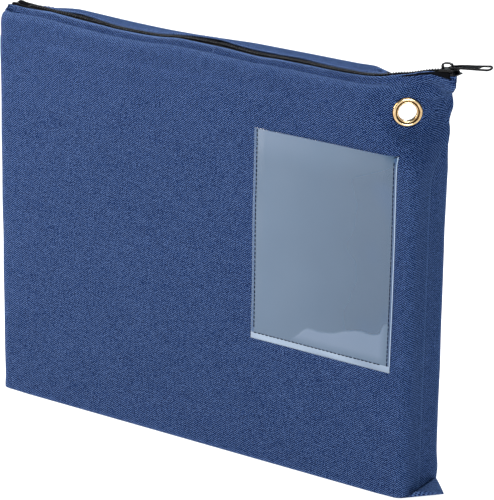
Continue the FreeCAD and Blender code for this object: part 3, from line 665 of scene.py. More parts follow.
def wall_rows(this, right, boxed, hinge, lower):
    """Rows up the wall, which leaves the boxed outline near its top to meet the hinge line."""
    fold = this["fold"]
    levels = np.linspace(BASE_ROUND, fold, round((fold - BASE_ROUND) / CELL))[1:]
    levels = np.concatenate([levels[:-1], [fold - OVERLAP, fold]])
    far = smoothstep(176, 202, boxed[:, 0])
    begin, begin_far, finish, finish_far = this["leave"]
    first, last = begin + begin_far * far, finish + finish_far * far
    rows = []
    for level in levels:
        turned = smoothstep(first, last, level)
        weight = np.where(right, turned, smoothstep(300, 330, level))[:, None]
        pinched = lower + (hinge - lower) * smoothstep(FRONT_FOLD, BACK_FOLD, level)
        rows.append(np.column_stack([swollen(boxed, level) * (1 - weight) + pinched * weight,
                                     np.full(len(boxed), level)]))
    return rows


def lip_rows(side, hinge, edge, square):
    """Rows over the lip, from the hinge line to its folded edge."""
    fold = SIDES[side]["fold"]
    turn = np.array(SIDES[side]["turn"], float)
    along = lengths(turn * SIDES[side]["reach"])
    total = along[-1]
    steps = np.concatenate([[OVERLAP], np.linspace(OVERLAP, total, 26)[1:]])
    rows = []
    for step, (inward, upward) in zip(steps, pchip(along / total, turn, steps / total)):
        straight = step / total
        a = (inward * square + straight * (1 - square))[:, None]
        b = upward * square + straight * (1 - square)
        height = fold + (edge[:, 2] - fold) * b
        if side > 0:
            top = back_shoulder_height(hinge[:, 0])
            shoulder = fold + (top - fold) * upward
            rounded = shoulder + (edge[:, 2] - top) * smoothstep(0.35, 1.0, straight)
            height = rounded * square + height * (1 - square)
        rows.append(np.column_stack([hinge * (1 - a) + edge[:, :2] * a, height]))
    return rows


def faired(points, corner, edge_row):
    """Evens out the crumpled right corner, between the wall and the folded edge."""
    fair = np.zeros(points.shape[:2])
    fair[14:edge_row - 3] = corner * smoothstep(266, 288, points[14:edge_row - 3, :, 2])
    fair[:, [0, -1]] = 0
    for _ in range(14):
        mean = points.copy()
        mean[1:-1, 1:-1] = (points[:-2, 1:-1] + points[2:, 1:-1] + points[1:-1, :-2]
                            + points[1:-1, 2:]) / 4
        points += (mean - points) * (fair * 0.6)[..., None]
    return points


def on_seams(points, side, places):
    """Draws both ends of the sheet onto the side seams."""
    ends = ((seam_left, 0, places, 15), (seam_right, -1, places[-1] - places, 24))
    for seam, end, near, reach in ends:
        z = points[:, end, 2]
        x, y = seam(z)
        target = np.column_stack([x, y + side * 0.38 * smoothstep(325, 340, z)])
        shift = (target - points[:, end, :2]) * smoothstep(4, 12, z)[:, None]
        points[:, :, :2] += shift[:, None] * (1 - smoothstep(0, reach, near))[None, :, None]
    return points


def cloth_sheet(side):
    """The whole front (side -1) or back (side 1) as a grid of points from the base to the hem.

    Returns the points, their places along and up the cloth, the row of the hinge line, and the
    row where the lip's folded edge is.
    """
    this = SIDES[side]
    outline, hinges, rims, squares, *lowers = zip(*this["columns"])
    outline = np.array(outline, float)
    knots = lengths(outline)
    places, start, stop = grid_places(knots, outline, this["lip_right"])
    boxed, hinge = (pchip(knots, np.array(c, float), places) for c in (outline, hinges))
    lower = pchip(knots, np.array(lowers[0], float), places) if lowers else hinge
    rim = np.array(rims, float)
    rim[:, 2] = np.where(np.isnan(rim[:, 2]), this["edge"](rim[:, 0]), rim[:, 2])
    edge = pchip(knots, rim, places)
    free = (edge[:, 0] > -180) & (edge[:, 0] < this["free"])
    edge[free, 2] = this["edge"](edge[free, 0])
    square = pchip(knots, np.array(squares, float), places)

    right = places > knots[-1] / 2
    rows = base_rows(boxed) + wall_rows(this, right, boxed, hinge, lower)
    hinge_row = len(rows) - 1
    rows += lip_rows(side, hinge, edge, square)
    edge_row = len(rows) - 1

    reach = this["lip_right"]
    corner = np.where(right, smoothstep(reach + 2, reach + 14, boxed[:, 0]), 0)
    points = faired(np.array(rows), corner, edge_row)
    points = grommet_flat(points, this["depth"])
    points = on_seams(points, side, places)
    points = worn(points, side, smoothstep(0, 12, np.minimum(places, places[-1] - places)))
    points = add_hem(points, edge_row, side)
    middle = int(np.argmin(abs(points[hinge_row, :, 0])))
    steps = (np.diff(points, axis=1, prepend=points[:, :1]),
             np.diff(points, axis=0, prepend=points[:1]))
    across, upright = (np.cumsum(np.linalg.norm(step, axis=2), axis=axis)
                       for axis, step in zip((1, 0), steps))
    # painted highlights on folds, edges and the front lip, painted shade in creases
    painted_light = fold_light_and_shade(points, side)
    if side < 0:
        painted_light = lip_painted_highlights(painted_light, points, hinge_row, edge_row)
    uv = np.stack([(across - across[:, middle:middle + 1]) * MM, upright * MM, painted_light], axis=-1)
    return {"points": points, "uv": uv, "hinge": hinge_row, "edge": edge_row, "side": side,
            "start": int(np.argmin(abs(places - start))),
            "stop": int(np.argmin(abs(places - stop)))}


def swollen(boxed, level):
    """The boxed outline with the outward push of the filled bag at this height."""
    out = boxed.copy()
    out[:, 0] -= left_swell(level) * (1 - smoothstep(-203, -150, boxed[:, 0]))
    push = right_swell(level) * smoothstep(2, 22, boxed[:, 1]) + 0.3
    out[:, 0] += push * smoothstep(170, 203, boxed[:, 0])
    out[:, 1] += 0.8 * math.exp(-level / 14) * (boxed[:, 1] / HALF_D
                                                * (1 - smoothstep(176, 198, np.abs(boxed[:, 0]))))
    return out


def outward(points, side):
    """The outward direction at every point of a grid."""
    normal = np.cross(np.gradient(points, axis=1), np.gradient(points, axis=0))
    return unit(normal) * (1 if side < 0 else -1)


def worn(points, side, clear):
    """Soft hollows, pulls and creases of real cloth; they leave the hinge line and the seams."""
    fold = SIDES[side]["fold"]
    x, z = points[..., 0], points[..., 2]
    still = 1 - np.exp(-((z - fold) / 9.0) ** 2) * (np.abs(x) < 165)
    lifted = smoothstep(2, 12, z)
    amount = waves(points, 11 + side, 150) * 0.50 + waves(points, 23 + side, 48) * 0.12
    upper = smoothstep(fold - 26, fold - 4, z) * smoothstep(120, 170, x)
    amount += upper * waves(points * (1, 1, 0.45), 31 + side, 17) * 0.22
    lower = np.exp(-((z - 10) / 12.0) ** 2) * smoothstep(150, 196, x)
    amount += lower * waves(points, 41 + side, 30) * 0.4
    if side < 0:
        flag = smoothstep(186, 200, x) * smoothstep(318, 326, z)
        amount += flag * (1.7 * np.exp(-((z - 331) / 3.2) ** 2)
                          - 1.3 * np.exp(-((z - 340) / 4.0) ** 2))
    return points + outward(points, side) * (amount * still * lifted * clear)[..., None]


def fold_light_and_shade(points, side):
    """Painted light on the cloth: 0 on flat cloth, painted highlight towards 1 on outward folds and
    edges, painted shade below 0 in inward creases.
    """
    normal = outward(points, side)
    bend = np.zeros(points.shape[:2])
    for axis in (0, 1):
        step = np.gradient(points, axis=axis)
        size = np.maximum(np.linalg.norm(step, axis=-1), 0.2)
        turn = np.gradient(step / size[..., None], axis=axis) / size[..., None]
        bend += np.maximum(-(turn * normal).sum(axis=-1), -0.05)
    for _ in range(2):
        bend[1:-1, 1:-1] = (bend[1:-1, 1:-1] * 2 + bend[:-2, 1:-1] + bend[2:, 1:-1]
                            + bend[1:-1, :-2] + bend[1:-1, 2:]) / 6
    folds = smoothstep(0.0, 0.22, bend) - 2.0 * np.clip(-bend, 0, 0.1)
    return np.clip(folds + 1.6 * smoothstep(0.35, 1.0, bend), -0.2, 3)


def lip_painted_highlights(painted_light, points, hinge_row, edge_row):
    """Adds painted highlights along the front lip's folded edge and along its shoulder."""
    x = points[edge_row, :, 0]
    on_lip = smoothstep(-195, -170, x) * (1 - smoothstep(60, 130, x))
    for row, share in ((0, 1.0), (1, 1.0), (2, 0.7)):
        painted_light[edge_row + row] += 2.6 * share * on_lip
    for row, share in ((-3, 0.3), (-2, 0.7), (-1, 1.0), (0, 1.0), (1, 0.6)):
        painted_light[hinge_row + row] += 0.45 * share * on_lip
    return painted_light


def add_hem(points, edge_row, side):
    """Rolls the cloth over its folded edge and a little way back underneath."""
    edge, before = points[edge_row], points[edge_row - 2]
    tangent = edge - before
    tangent[:, 0] = 0
    tangent = unit(tangent)
    inward = np.column_stack([np.zeros(len(edge)), -side * tangent[:, 2], side * tangent[:, 1]])
    inward = unit(inward)
    rows = []
    for angle in np.linspace(0, math.pi, 7)[1:]:
        rows.append(edge + inward * HEM_ROLL * (1 - math.cos(angle))
                    + tangent * HEM_ROLL * math.sin(angle))
    last = rows[-1]
    for k in (1, 2, 3):
        rows.append(last - tangent * (HEM_UNDER * k / 3))
    return np.concatenate([points, np.array(rows)])


FRONT = cloth_sheet(-1)
BACK = cloth_sheet(1)


def grommet_hole(points, faces, depth, radius):
    """Takes out the cloth under the grommet's bore and draws the cut edge onto a circle."""
    offset = points - GROMMET_CENTRE
    distance = offset @ GROMMET_OUT
    flat = offset - distance[:, None] * GROMMET_OUT
    radial = np.linalg.norm(flat, axis=1)
    near = (radial < radius) & (np.abs(distance + depth) < 3)
    cut = near[faces].any(axis=1)
    kept, dropped = faces[~cut], faces[cut]
    if len(dropped):
        border = np.intersect1d(np.unique(kept), np.unique(dropped))
        border = border[(radial[border] < radius + 2 * CELL)
                        & (np.abs(distance[border] + depth) < 3)]
        points = points.copy()
        points[border] = (GROMMET_CENTRE + distance[border, None] * GROMMET_OUT
                          + flat[border] / radial[border, None] * radius)
    return points, kept


def shell_piece(name, sheet):
    """Everything of one sheet but its lip, tucked one cell under the lip along their common line."""
    points, uv = sheet["points"].copy(), sheet["uv"]
    rows, columns = points.shape[:2]
    hinge, start, stop = sheet["hinge"], sheet["start"], sheet["stop"]
    tuck = np.zeros((rows, columns))
    tuck[hinge + 1:, start + 1:stop] = TUCK
    points -= outward(sheet["points"], sheet["side"]) * tuck[..., None]
    keep = np.ones((rows - 1, columns - 1), bool)
    keep[hinge + 1:, start + 1:stop - 1] = False
    faces = grid_faces(rows, columns, sheet["side"] > 0, keep)
    flat_points, faces = grommet_hole(points.reshape(-1, 3), faces, SIDES[sheet["side"]]["depth"],
                                      CLOTH_HOLE)
    flat_points, faces, flat_uv = drop_loose(flat_points, faces, uv.reshape(-1, 3))
    return thicken(mesh_piece(name, flat_points, faces, CANVAS, flat_uv))


def thicken(obj, thickness=CLOTH):
    solid = obj.modifiers.new("thickness", "SOLIDIFY")
    solid.thickness = thickness * MM
    solid.offset = -1
    solid.use_even_offset = False
    return obj


def lip_half(name, sheet, left):
    """One half of a lip, from the hinge line to the hem."""
    points, uv = sheet["points"].copy(), sheet["uv"]
    hinge, start, stop = sheet["hinge"], sheet["start"], sheet["stop"]
    middle = int(np.argmin(abs(points[hinge, :, 0])))
    low, high = (start - 1, middle + 1) if left else (middle, stop + 1)
    normal = outward(sheet["points"], sheet["side"])
    points[hinge - 1] -= normal[hinge - 1] * TUCK
    tucked = [start - 1, middle + 1] if left else [stop + 1]
    points[:, tucked] -= normal[:, tucked] * TUCK
    part = points[hinge - 1:, low:high + 1]
    part_uv = uv[hinge - 1:, low:high + 1]
    faces = grid_faces(part.shape[0], part.shape[1], sheet["side"] > 0)
    obj = mesh_piece(name, part.reshape(-1, 3), faces, CANVAS, part_uv.reshape(-1, 3))
    thicken(obj)
    return blend_half(obj)


def blend_half(obj):
    """Bakes the piece's placement into its mesh."""
    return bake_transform(obj)


# ----------------------------------------------------------------------------------- the cloth

front_shell = fixed(shell_piece("front_and_side_cloth", FRONT), "cloth", "front_panel",
                    "front_corner_left", "front_corner_right", "left_side_panel", "right_side_panel")
back_shell = fixed(shell_piece("back_and_side_cloth", BACK), "cloth", "back_panel",
                   "back_corner_left", "back_corner_right")

for sheet, body in ((FRONT, "front_lip"), (BACK, "back_lip")):
    for left in (True, False):
        lip = lip_half(f"{body}_{END[left]}", sheet, left)
        stands_for(lip, "cloth", f"{body}_middle")


def bottom_cloth():
    """The floor of the bag, inside the rounded base of the walls."""
    wide, deep = HALF_W - BASE_ROUND - 1, HALF_D - BASE_ROUND - 1
    columns, rows = 90, 12
    x = np.linspace(-wide, wide, columns)
    y = np.linspace(-deep, deep, rows)
    grid = np.stack(np.meshgrid(x, y, indexing="xy"), axis=-1)
    z = 0.35 + 0.35 * np.abs(waves(np.dstack([grid, np.zeros(grid.shape[:2])]), 5, 60))
    points = np.dstack([grid, z]).reshape(-1, 3)
    faces = grid_faces(rows, columns, flip=True)
    obj = mesh_piece("bottom_cloth", points, faces, CANVAS, points[:, :2] * MM)
    return thicken(obj)


bottom = fixed(bottom_cloth(), "cloth", "bottom_panel")


def ear(name, base, tip, up, thickness, node, crease=0.0, rise=0.0):
    """A folded triangle of two layers, from its base line to its tip.

    crease is how deep it dips along the base line, rise how much it lifts at the line's far end.
    """
    count, rows = 22, 14
    base_a, base_b = np.array(base[0], float), np.array(base[1], float)
    tip, up = np.array(tip, float), unit(np.array(up, float))
    tops, lows, uvs = [], [], []
    for i in range(rows + 1):
        share = i / rows
        for j in range(count + 1):
            across = j / count
            start = base_a + (base_b - base_a) * across
            point = start + (tip - start) * share
            rim = min(1.0, 4.2 * math.sqrt(max(across * (1 - across), 0.0)) * (1 - share) * 2.2)
            puff = thickness * (0.22 + 0.78 * math.sqrt(max(0.0, rim * (1 - share ** 3))))
            puff *= 1 - crease * (1 - smoothstep(0.14, 0.27, share))
            puff += rise * across ** 1.5 * (1 - share) ** 1.2
            ridge = 0.5 * math.sin(across * 9 + share * 4) * rim * 0.35
            tops.append(point + up * (puff + ridge))
            lows.append(point)
            # the third number is a painted highlight over the ear's top, fading out towards its base
            # line
            uvs.append(((start[0] + start[1] + share * 24) * MM, (across * 48) * MM,
                        1.8 * float(smoothstep(0.10, 0.30, share))))
    width = count + 1
    top_faces = grid_faces(rows + 1, width)
    size = len(tops)
    faces = [tuple(f) for f in top_faces] + [tuple(v + size for v in f[::-1]) for f in top_faces]
    rim_line = ([(0, j) for j in range(width)] + [(i, count) for i in range(1, rows + 1)]
                + [(rows, j) for j in range(count - 1, -1, -1)]
                + [(i, 0) for i in range(rows - 1, 0, -1)])
    for k, (i, j) in enumerate(rim_line):
        m, n = rim_line[(k + 1) % len(rim_line)]
        a, b = i * width + j, m * width + n
        faces.append((b, a, a + size, b + size))
    obj = mesh_piece(name, np.array(tops + lows), faces, CANVAS, np.array(uvs + uvs))
    weld(obj)
    return fixed(obj, "cloth", node)


right_tip = box_mm("right_bottom_ear")[1]
right_ear = ear("right_bottom_ear_cloth",
                ((HALF_W - 2.0, -HALF_D + 1.5, 0.6), (HALF_W - 0.5, HALF_D - 0.6, 0.4)),
                (right_tip[0] - 0.2, -0.4, 2.6), (0.12, -0.1, 1), 4.2, "right_bottom_ear",
                crease=0.95, rise=3.2)
left_tip = box_mm("left_bottom_ear")[1]
left_ear = ear("left_bottom_ear_cloth",
               ((left_tip[0] - 0.6, HALF_D - 1.5, 0.6), (left_tip[0] - 0.6, 1.5 - HALF_D, 0.6)),
               (left_tip[0] - 0.8, 0, left_tip[2]), (-1, 0, 0), 2.2, "left_bottom_ear")


def seam_flap(name, side, node):
    """The two layers of a side seam inside the bag, with a slightly uneven raw edge."""
    low, high = box_mm(node)
    rows, columns = 110, 6
    z = np.linspace(low[2] + 2, high[2], rows)
    points = []
    for sign in (-1, 1):
        layer = []
        for height in z:
            wave = 0.5 * math.sin(height / 19.0) + 0.3 * math.sin(height / 7.3 + 1)
            for c in range(columns):
                share = c / (columns - 1)
                outer, inner = (high[0], low[0]) if side > 0 else (low[0], high[0])
                ragged = 0.35 * math.sin(height * 2.1 + sign) * share
                x = outer + (inner - outer) * share + ragged * side
                y = sign * (0.35 + 0.5 * share) + wave * share * 1.6
                layer.append((x, y, height))
        points.append(np.array(layer))
    faces = grid_faces(rows, columns, flip=side > 0)
    parts = [(points[0], faces), (points[1], grid_faces(rows, columns, flip=side < 0))]
    joined, joined_faces = join_meshes(parts)
    obj = mesh_piece(name, joined, joined_faces, CANVAS, joined[:, [0, 2]] * MM)
    return fixed(thicken(obj, 0.6), "cloth", node)


flaps = [seam_flap("left_seam_flap", -1, "left_seam_allowance"),
         seam_flap("right_seam_flap", 1, "right_seam_allowance")]


# ----------------------------------------------------------------------------------- the zipper

COIL_END_LEFT = box_mm("front_coil_left")[0][0]
COIL_END_RIGHT = box_mm("front_coil_right")[1][0]
TAPE_END_LEFT = -HALF_W - 4.6
TAPE_END_RIGHT = box_mm("front_tape_right")[1][0] - 2.5
COIL_PITCH = 2.5
COIL_WIRE = 0.42           # radius of the monofilament


def hem_line(sheet, row):
    """One row of a sheet as a curve over x, for the tape and the stitching to follow."""
    line = sheet["points"][row]
    order = np.argsort(line[:, 0])
    return line[order]


def tape_half(face, sheet, left):
    """Half of one tape, from under the teeth, through the slider's slot, to under the hem."""
    side = sheet["side"]
    x = np.arange(TAPE_END_LEFT, 0.01, 1.6) if left else np.arange(0.0, TAPE_END_RIGHT, 1.6)
    x = np.unique(np.append(x, 0.0 if left else TAPE_END_RIGHT))
    lines = (hem_line(sheet, row) for row in (len(sheet["points"]) - 2, sheet["edge"] + 5))
    under, turn = (follow(line[:, 0], line, x) for line in lines)
    coil = zipper_height(x) + 0.5 * smoothstep(200, 207, -x)
    start, beneath, middle = (np.column_stack([x, np.full(len(x), side * y), coil - drop])
                              for y, drop in ((0.5, 1.15), (3.3, 0.35), (5.4, 0.1)))
    turn[:, 2] -= 0.75
    under[:, 2] -= 0.75
    turn[:, 1] = side * np.maximum(np.abs(turn[:, 1]), 5.9)
    rows = np.array([start, beneath, middle, (middle + turn) / 2 - (0, 0, 0.1), turn, under])
    fine = pchip(np.linspace(0, 1, len(rows)), rows, np.linspace(0, 1, 13))
    across = lengths(fine[:, len(x) // 2])
    uv = np.stack(np.meshgrid(x * MM, across * MM, indexing="xy"), axis=-1)
    faces = grid_faces(fine.shape[0], len(x), flip=side < 0)
    obj = mesh_piece(f"{face}_zipper_tape_{END[left]}", fine.reshape(-1, 3), faces, TAPE,
                     uv.reshape(-1, 2))
    return thicken(obj, 0.45)


def coil_half(face, side, left):
    """Half of one row of teeth: a flattened helix of monofilament, one turn to a tooth."""
    shift = 0.0 if side < 0 else COIL_PITCH / 2
    first, last = (COIL_END_LEFT, 0.0) if left else (0.0, COIL_END_RIGHT)
    first_turn = math.ceil((first - shift) / COIL_PITCH)
    last_turn = math.floor((last - shift) / COIL_PITCH)
    per_turn = 12
    turns = np.arange(first_turn * per_turn, last_turn * per_turn + 1) / per_turn
    x = turns * COIL_PITCH + shift
    angle = turns * 2 * math.pi
    across, tall = 1.75, 0.85
    bulge = 1.0 + 0.10 * smoothstep(0.55, 1.0, -np.cos(angle))
    y = side * (1.55 + across * np.cos(angle))
    z = zipper_height(x) + tall * bulge * np.sin(angle)
    path = np.column_stack([x, y, z])
    sides = 8
    points, faces = tube_mesh(path, COIL_WIRE, sides)
    obj = mesh_piece(f"{face}_zipper_coil_{END[left]}", points, faces, COIL)
    # painted highlight on each tooth's crown, stronger on one side of it
    tooth_glint = smoothstep(0.80, 1.0, np.sin(angle)) * (0.6 - 0.4 * side * np.cos(angle))
    mark_points(obj.data, "tooth_glint", np.repeat(tooth_glint, sides))
    return obj


def stitch_parts(path, pitch, length, radius, lift):
    """Separate stitches along a path; each dips into the cloth at both ends."""
    along = lengths(path)
    count = int((along[-1] - length) / pitch)
    parts = []
    for k in range(count):
        begin = k * pitch + RNG.uniform(-0.06, 0.06) * pitch
        at = np.clip(begin + length * np.linspace(0, 1, 7), 0, along[-1])
        line = follow(along, path, at)
        arch = np.sin(np.linspace(0, math.pi, 7)) ** 0.5
        line = line + lift * (arch[:, None] - 0.35)
        swell = radius * (0.55 + 0.45 * np.sin(np.linspace(0, math.pi, 7)))
        parts.append(tube_mesh(line, swell, 6))
    return parts


def lip_stitching(face, sheet, left):
    """Topstitching that holds the hem to the tape."""
    row = sheet["edge"] - 3
    x_low, x_high = (COIL_END_LEFT, 0.0) if left else (0.0, COIL_END_RIGHT - 4)
    line = hem_line(sheet, row)
    x = np.arange(x_low, x_high, 0.8)
    path = follow(line[:, 0], line, x)
    order = np.argsort(sheet["points"][row][:, 0])
    normal = outward(sheet["points"], sheet["side"])[row][order]
    up = follow(line[:, 0], normal, x)
    mean_up = unit(up.mean(axis=0))
    parts = stitch_parts(path + up * 0.08, 4.2, 3.0, 0.26, mean_up * 0.22)
    points, faces = join_meshes(parts)
    return mesh_piece(f"{face}_zipper_stitches_{END[left]}", points, faces, BLUE_THREAD)


for face, sheet in (("front", FRONT), ("back", BACK)):
    body = face + "_lip"
    for left in (True, False):
        pieces = ((tape_half(face, sheet, left), "tape", "zipper_tape"),
                  (coil_half(face, sheet["side"], left), "coil", "zipper_coil"),
                  (lip_stitching(face, sheet, left), "zip_stitching", "zip_thread"))
        for obj, kind, slot in pieces:
            blend_half(obj)
            stands_for(obj, slot, f"{face}_{kind}_{END[left]}", f"{face}_{kind}_middle")


def stop_block(node):
    """A moulded stop clamped over the teeth: rounded all over, with a shallow saddle along it."""
    low, high = box_mm(node)
    middle, half = (low + high) / 2, (high - low) / 2
    rings, around = 22, 28
    points = []
    for i in range(rings + 1):
        t = -1 + 2 * i / rings
        slim = max(1 - abs(t) ** 4, 0.0) ** 0.25
        for j in range(around):
            a = 2 * math.pi * j / around
            c, d = math.cos(a), math.sin(a)
            y = half[1] * slim * math.copysign(abs(c) ** 0.5, c)
            z = half[2] * slim * math.copysign(abs(d) ** 0.5, d)
            z -= 0.22 * half[2] * math.exp(-(y / (0.35 * half[1])) ** 2) * (z > 0)
            points.append((middle[0] + half[0] * t * (0.98 if slim > 0 else 1), middle[1] + y, z))
    points = np.array(points)
    points[:, 2] += zipper_height(points[:, 0]) - 1.1
    obj = mesh_piece(node + "_block", points, ring_faces(rings + 1, around), STOP)
    weld(obj)
    fixed(obj, "zipper_stop", node)


for node in ("top_stop_front", "top_stop_back", "bottom_stop"):
    stop_block(node)
# The slider's body is the CAD's own, painted.
slider = frame["nodes"]["slider_body"]
slider.data.materials.clear()
slider.data.materials.append(BLACK_PAINT)


TAB_ROLL = math.radians(16)    # about its length, as it hangs in the photo


def rolled_tab():
    """The pull tab as it hangs, rolled a little about its length by the slack in its loop."""
    plain = frame["nodes"]["pull_tab"]
    mesh = plain.data.copy()
    obj = bpy.data.objects.new("hanging_pull_tab", mesh)
    bpy.context.scene.collection.objects.link(obj)
    obj.matrix_world = plain.matrix_world
    low, high = box_mm("pull_tab")
    axis_y, axis_z = (low[1] + high[1]) / 2, (low[2] + high[2]) / 2
    for vertex in mesh.vertices:
        place = obj.matrix_world @ vertex.co / MM
        turn = TAB_ROLL * float(smoothstep(low[0] + 3, low[0] + 10, place.x))
        y, z = place.y - axis_y, place.z - axis_z
        place.y = axis_y + y * math.cos(turn) - z * math.sin(turn)
        place.z = axis_z + y * math.sin(turn) + z * math.cos(turn)
        vertex.co = obj.matrix_world.inverted() @ (place * MM)
    mesh.materials.clear()
    mesh.materials.append(BLACK_PAINT)
    fixed(obj, "pull_tab", "pull_tab", body="pull")


rolled_tab()


# ---------------------------------------------------------------------------------- the grommet

BORE = 7.2                 # radius of the eyelet's hole
GROOVE = BORE + 1.9        # radius of the groove that gets painted shade


def lathe(name, profile, material, segments=96):
    """A ring turned round the grommet's axis from (radius, height) points, closed on itself."""
    profile = np.array(profile, float)
    angles = 2 * math.pi * np.arange(segments) / segments
    ring = (GROMMET_ALONG[None] * np.cos(angles)[:, None]
            + np.array([0, 0, 1.0])[None] * np.sin(angles)[:, None])
    points = (GROMMET_CENTRE + ring[:, None] * profile[None, :, :1]
              + GROMMET_OUT * profile[None, :, 1:]).reshape(-1, 3)
    obj = mesh_piece(name, points, ring_faces(segments, len(profile), closed=True), material)
    weld(obj)
    radius = np.array([math.hypot((v.co / MM - Vector(GROMMET_CENTRE)) @ Vector(GROMMET_ALONG),
                                  v.co.z / MM - GROMMET_CENTRE[2]) for v in obj.data.vertices])
    # painted shade in the groove and at the rim's edge, standing in for dark reflections
    ring_shade = 0.5 * (np.exp(-((radius - GROOVE) / 0.45) ** 2)
                  + 0.8 * np.exp(-((radius - GROMMET_RIM) / 0.35) ** 2))
    mark_points(obj.data, "painted_ring_shade", ring_shade)
    return obj


def arc(centre, radius, start, stop, steps):
    """Points of a circle's arc, between two angles in degrees."""
    return [(centre[0] + radius * math.cos(a), centre[1] + radius * math.sin(a))
            for a in np.radians(np.linspace(start, stop, steps))]


RIM_ROLL = 1.55            # radius of the flange's rolled rim
WASHER_BACK = -3.35        # height of the washer's face
eyelet_profile = (arc((GROMMET_RIM - RIM_ROLL, 0.15), RIM_ROLL, -40, 150, 14)
                  + arc((BORE + 1.75, 0.75), 0.30, -30, -150, 5)
                  + arc((BORE + 0.75, 0.55), 0.75, 60, 180, 8)
                  + [(BORE, -1.0), (BORE, -3.0)] + arc((BORE + 1.0, -3.6), 0.75, 180, 300, 6)
                  + [(BORE + 1.9, -3.9), (BORE + 0.75, -3.2), (BORE + 0.7, -0.2),
                     (GROMMET_RIM - 1.0, -0.1)])
fixed(lathe("brass_eyelet", eyelet_profile, BRASS), "brass", "grommet")
washer_profile = (arc((GROMMET_RIM - 0.75, WASHER_BACK + 0.2), 0.45, -60, 120, 8)
                  + [(BORE + 0.9, WASHER_BACK + 0.2), (BORE + 0.9, WASHER_BACK - 0.25)])
fixed(lathe("brass_washer", washer_profile, BRASS), "brass", "grommet_washer")


# ----------------------------------------------------------------------------- the card window

FILM_LOW, FILM_HIGH = box_mm("window_film")
SEAM_LOW, SEAM_HIGH = box_mm("window_stitching")


def front_surface(x, z):
    """Where the front cloth is at x and z, away from the corners and the lip."""
    points = FRONT["points"]
    levels = points[:FRONT["hinge"], 5, 2]
    row = np.clip(np.searchsorted(levels, z), 1, FRONT["hinge"] - 1)
    out = np.zeros(np.shape(z))
    for index in np.ndindex(out.shape):
        r = row[index]
        share = (z[index] - levels[r - 1]) / (levels[r] - levels[r - 1])
        pair = [np.interp(x[index], points[k, 4:-8, 0], points[k, 4:-8, 1]) for k in (r - 1, r)]
        out[index] = pair[0] + (pair[1] - pair[0]) * share
    return out


def cling_line(x):
    """Height below which the film has let go of the cloth, low on the right."""
    share = (x - FILM_LOW[0]) / (FILM_HIGH[0] - FILM_LOW[0])
    return FILM_LOW[2] + curve([(0.0, -9), (0.24, 3), (0.34, 12.5), (0.42, 20.5), (0.50, 20.2),
                                (0.58, 21.5), (0.70, 27.0), (0.80, 29.5), (0.86, 29.0),
                                (0.92, 31.0), (0.945, 38.5), (1.0, 43.0)], share)


def window_film():
    """The clear film, standing off the cloth where it is loose, with painted reflections and painted
    shade for each point.
    """
    columns, rows = 118, 160
    x = np.unique(np.concatenate([np.linspace(FILM_LOW[0], FILM_HIGH[0], columns),
                                  [SEAM_LOW[0] + 0.1, SEAM_LOW[0] + 0.5, SEAM_HIGH[0] - 0.5,
                                   SEAM_HIGH[0] - 0.1, FILM_HIGH[0] - 1.0, FILM_HIGH[0] - 0.6]]))
    z = np.unique(np.concatenate([np.linspace(FILM_LOW[2], FILM_HIGH[2], rows),
                                  [SEAM_LOW[2] + 0.1, SEAM_LOW[2] + 0.5, FILM_HIGH[2] - 0.8,
                                   FILM_HIGH[2] - 0.4]]))
    grid_x, grid_z = np.meshgrid(x, z, indexing="xy")
    cloth = front_surface(grid_x, grid_z)
    inside = (smoothstep(0, 9, grid_x - SEAM_LOW[0]) * smoothstep(0, 9, SEAM_HIGH[0] - grid_x)
              * smoothstep(0, 9, grid_z - SEAM_LOW[2]))
    loose = 1 - smoothstep(-0.7, 0.7, grid_z - cling_line(grid_x))
    top_gap = smoothstep(FILM_HIGH[2] - 60, FILM_HIGH[2], grid_z)
    place = np.dstack([grid_x, cloth, grid_z])
    lift = 0.40 + inside * (0.25 + 0.30 * loose + 0.55 * top_gap + 0.22 * waves(place, 77, 55))
    y = cloth - np.maximum(lift, 0.34)
    points = np.dstack([grid_x, y, grid_z]).reshape(-1, 3)
    obj = mesh_piece("card_window_film", points, grid_faces(len(z), len(x)), VINYL,
                     points[:, [0, 2]] * MM)
    rightward = smoothstep(FILM_LOW[0], FILM_HIGH[0], grid_x)
    # Painted reflections in the film: lighter where it stands loose and towards its top, darker to
    # the right.
    painted_film_light = 0.30 + 0.16 * loose * inside - 0.15 * rightward * (1 - loose)
    painted_film_light += 0.12 * smoothstep(FILM_HIGH[2] - 30, FILM_HIGH[2] - 4, grid_z) * (1 - 0.6 * rightward)
    # Its margins: darker beside the seams, a painted highlight along the right edge and the lower
    # margin, painted shade along the top edge.
    painted_film_light = np.where(grid_x > SEAM_HIGH[0] - 0.2, 0.09, painted_film_light)
    painted_film_light = np.where(grid_x > FILM_HIGH[0] - 0.9, 0.82, painted_film_light)
    painted_film_light = np.where(grid_x < SEAM_LOW[0] + 0.2, 0.10, painted_film_light)
    margin = 0.72 - 0.10 * rightward + 0.05 * waves(place * (1, 1, 3), 91, 26)
    painted_film_light = np.where(grid_z < SEAM_LOW[2] + 0.2, margin, painted_film_light)
    painted_film_light = np.where(grid_z > FILM_HIGH[2] - 0.5, 0.0, painted_film_light)
    mark_points(obj.data, "painted_film_light", painted_film_light)
    return fixed(thicken(obj, 0.15), "window_film", "window_film")


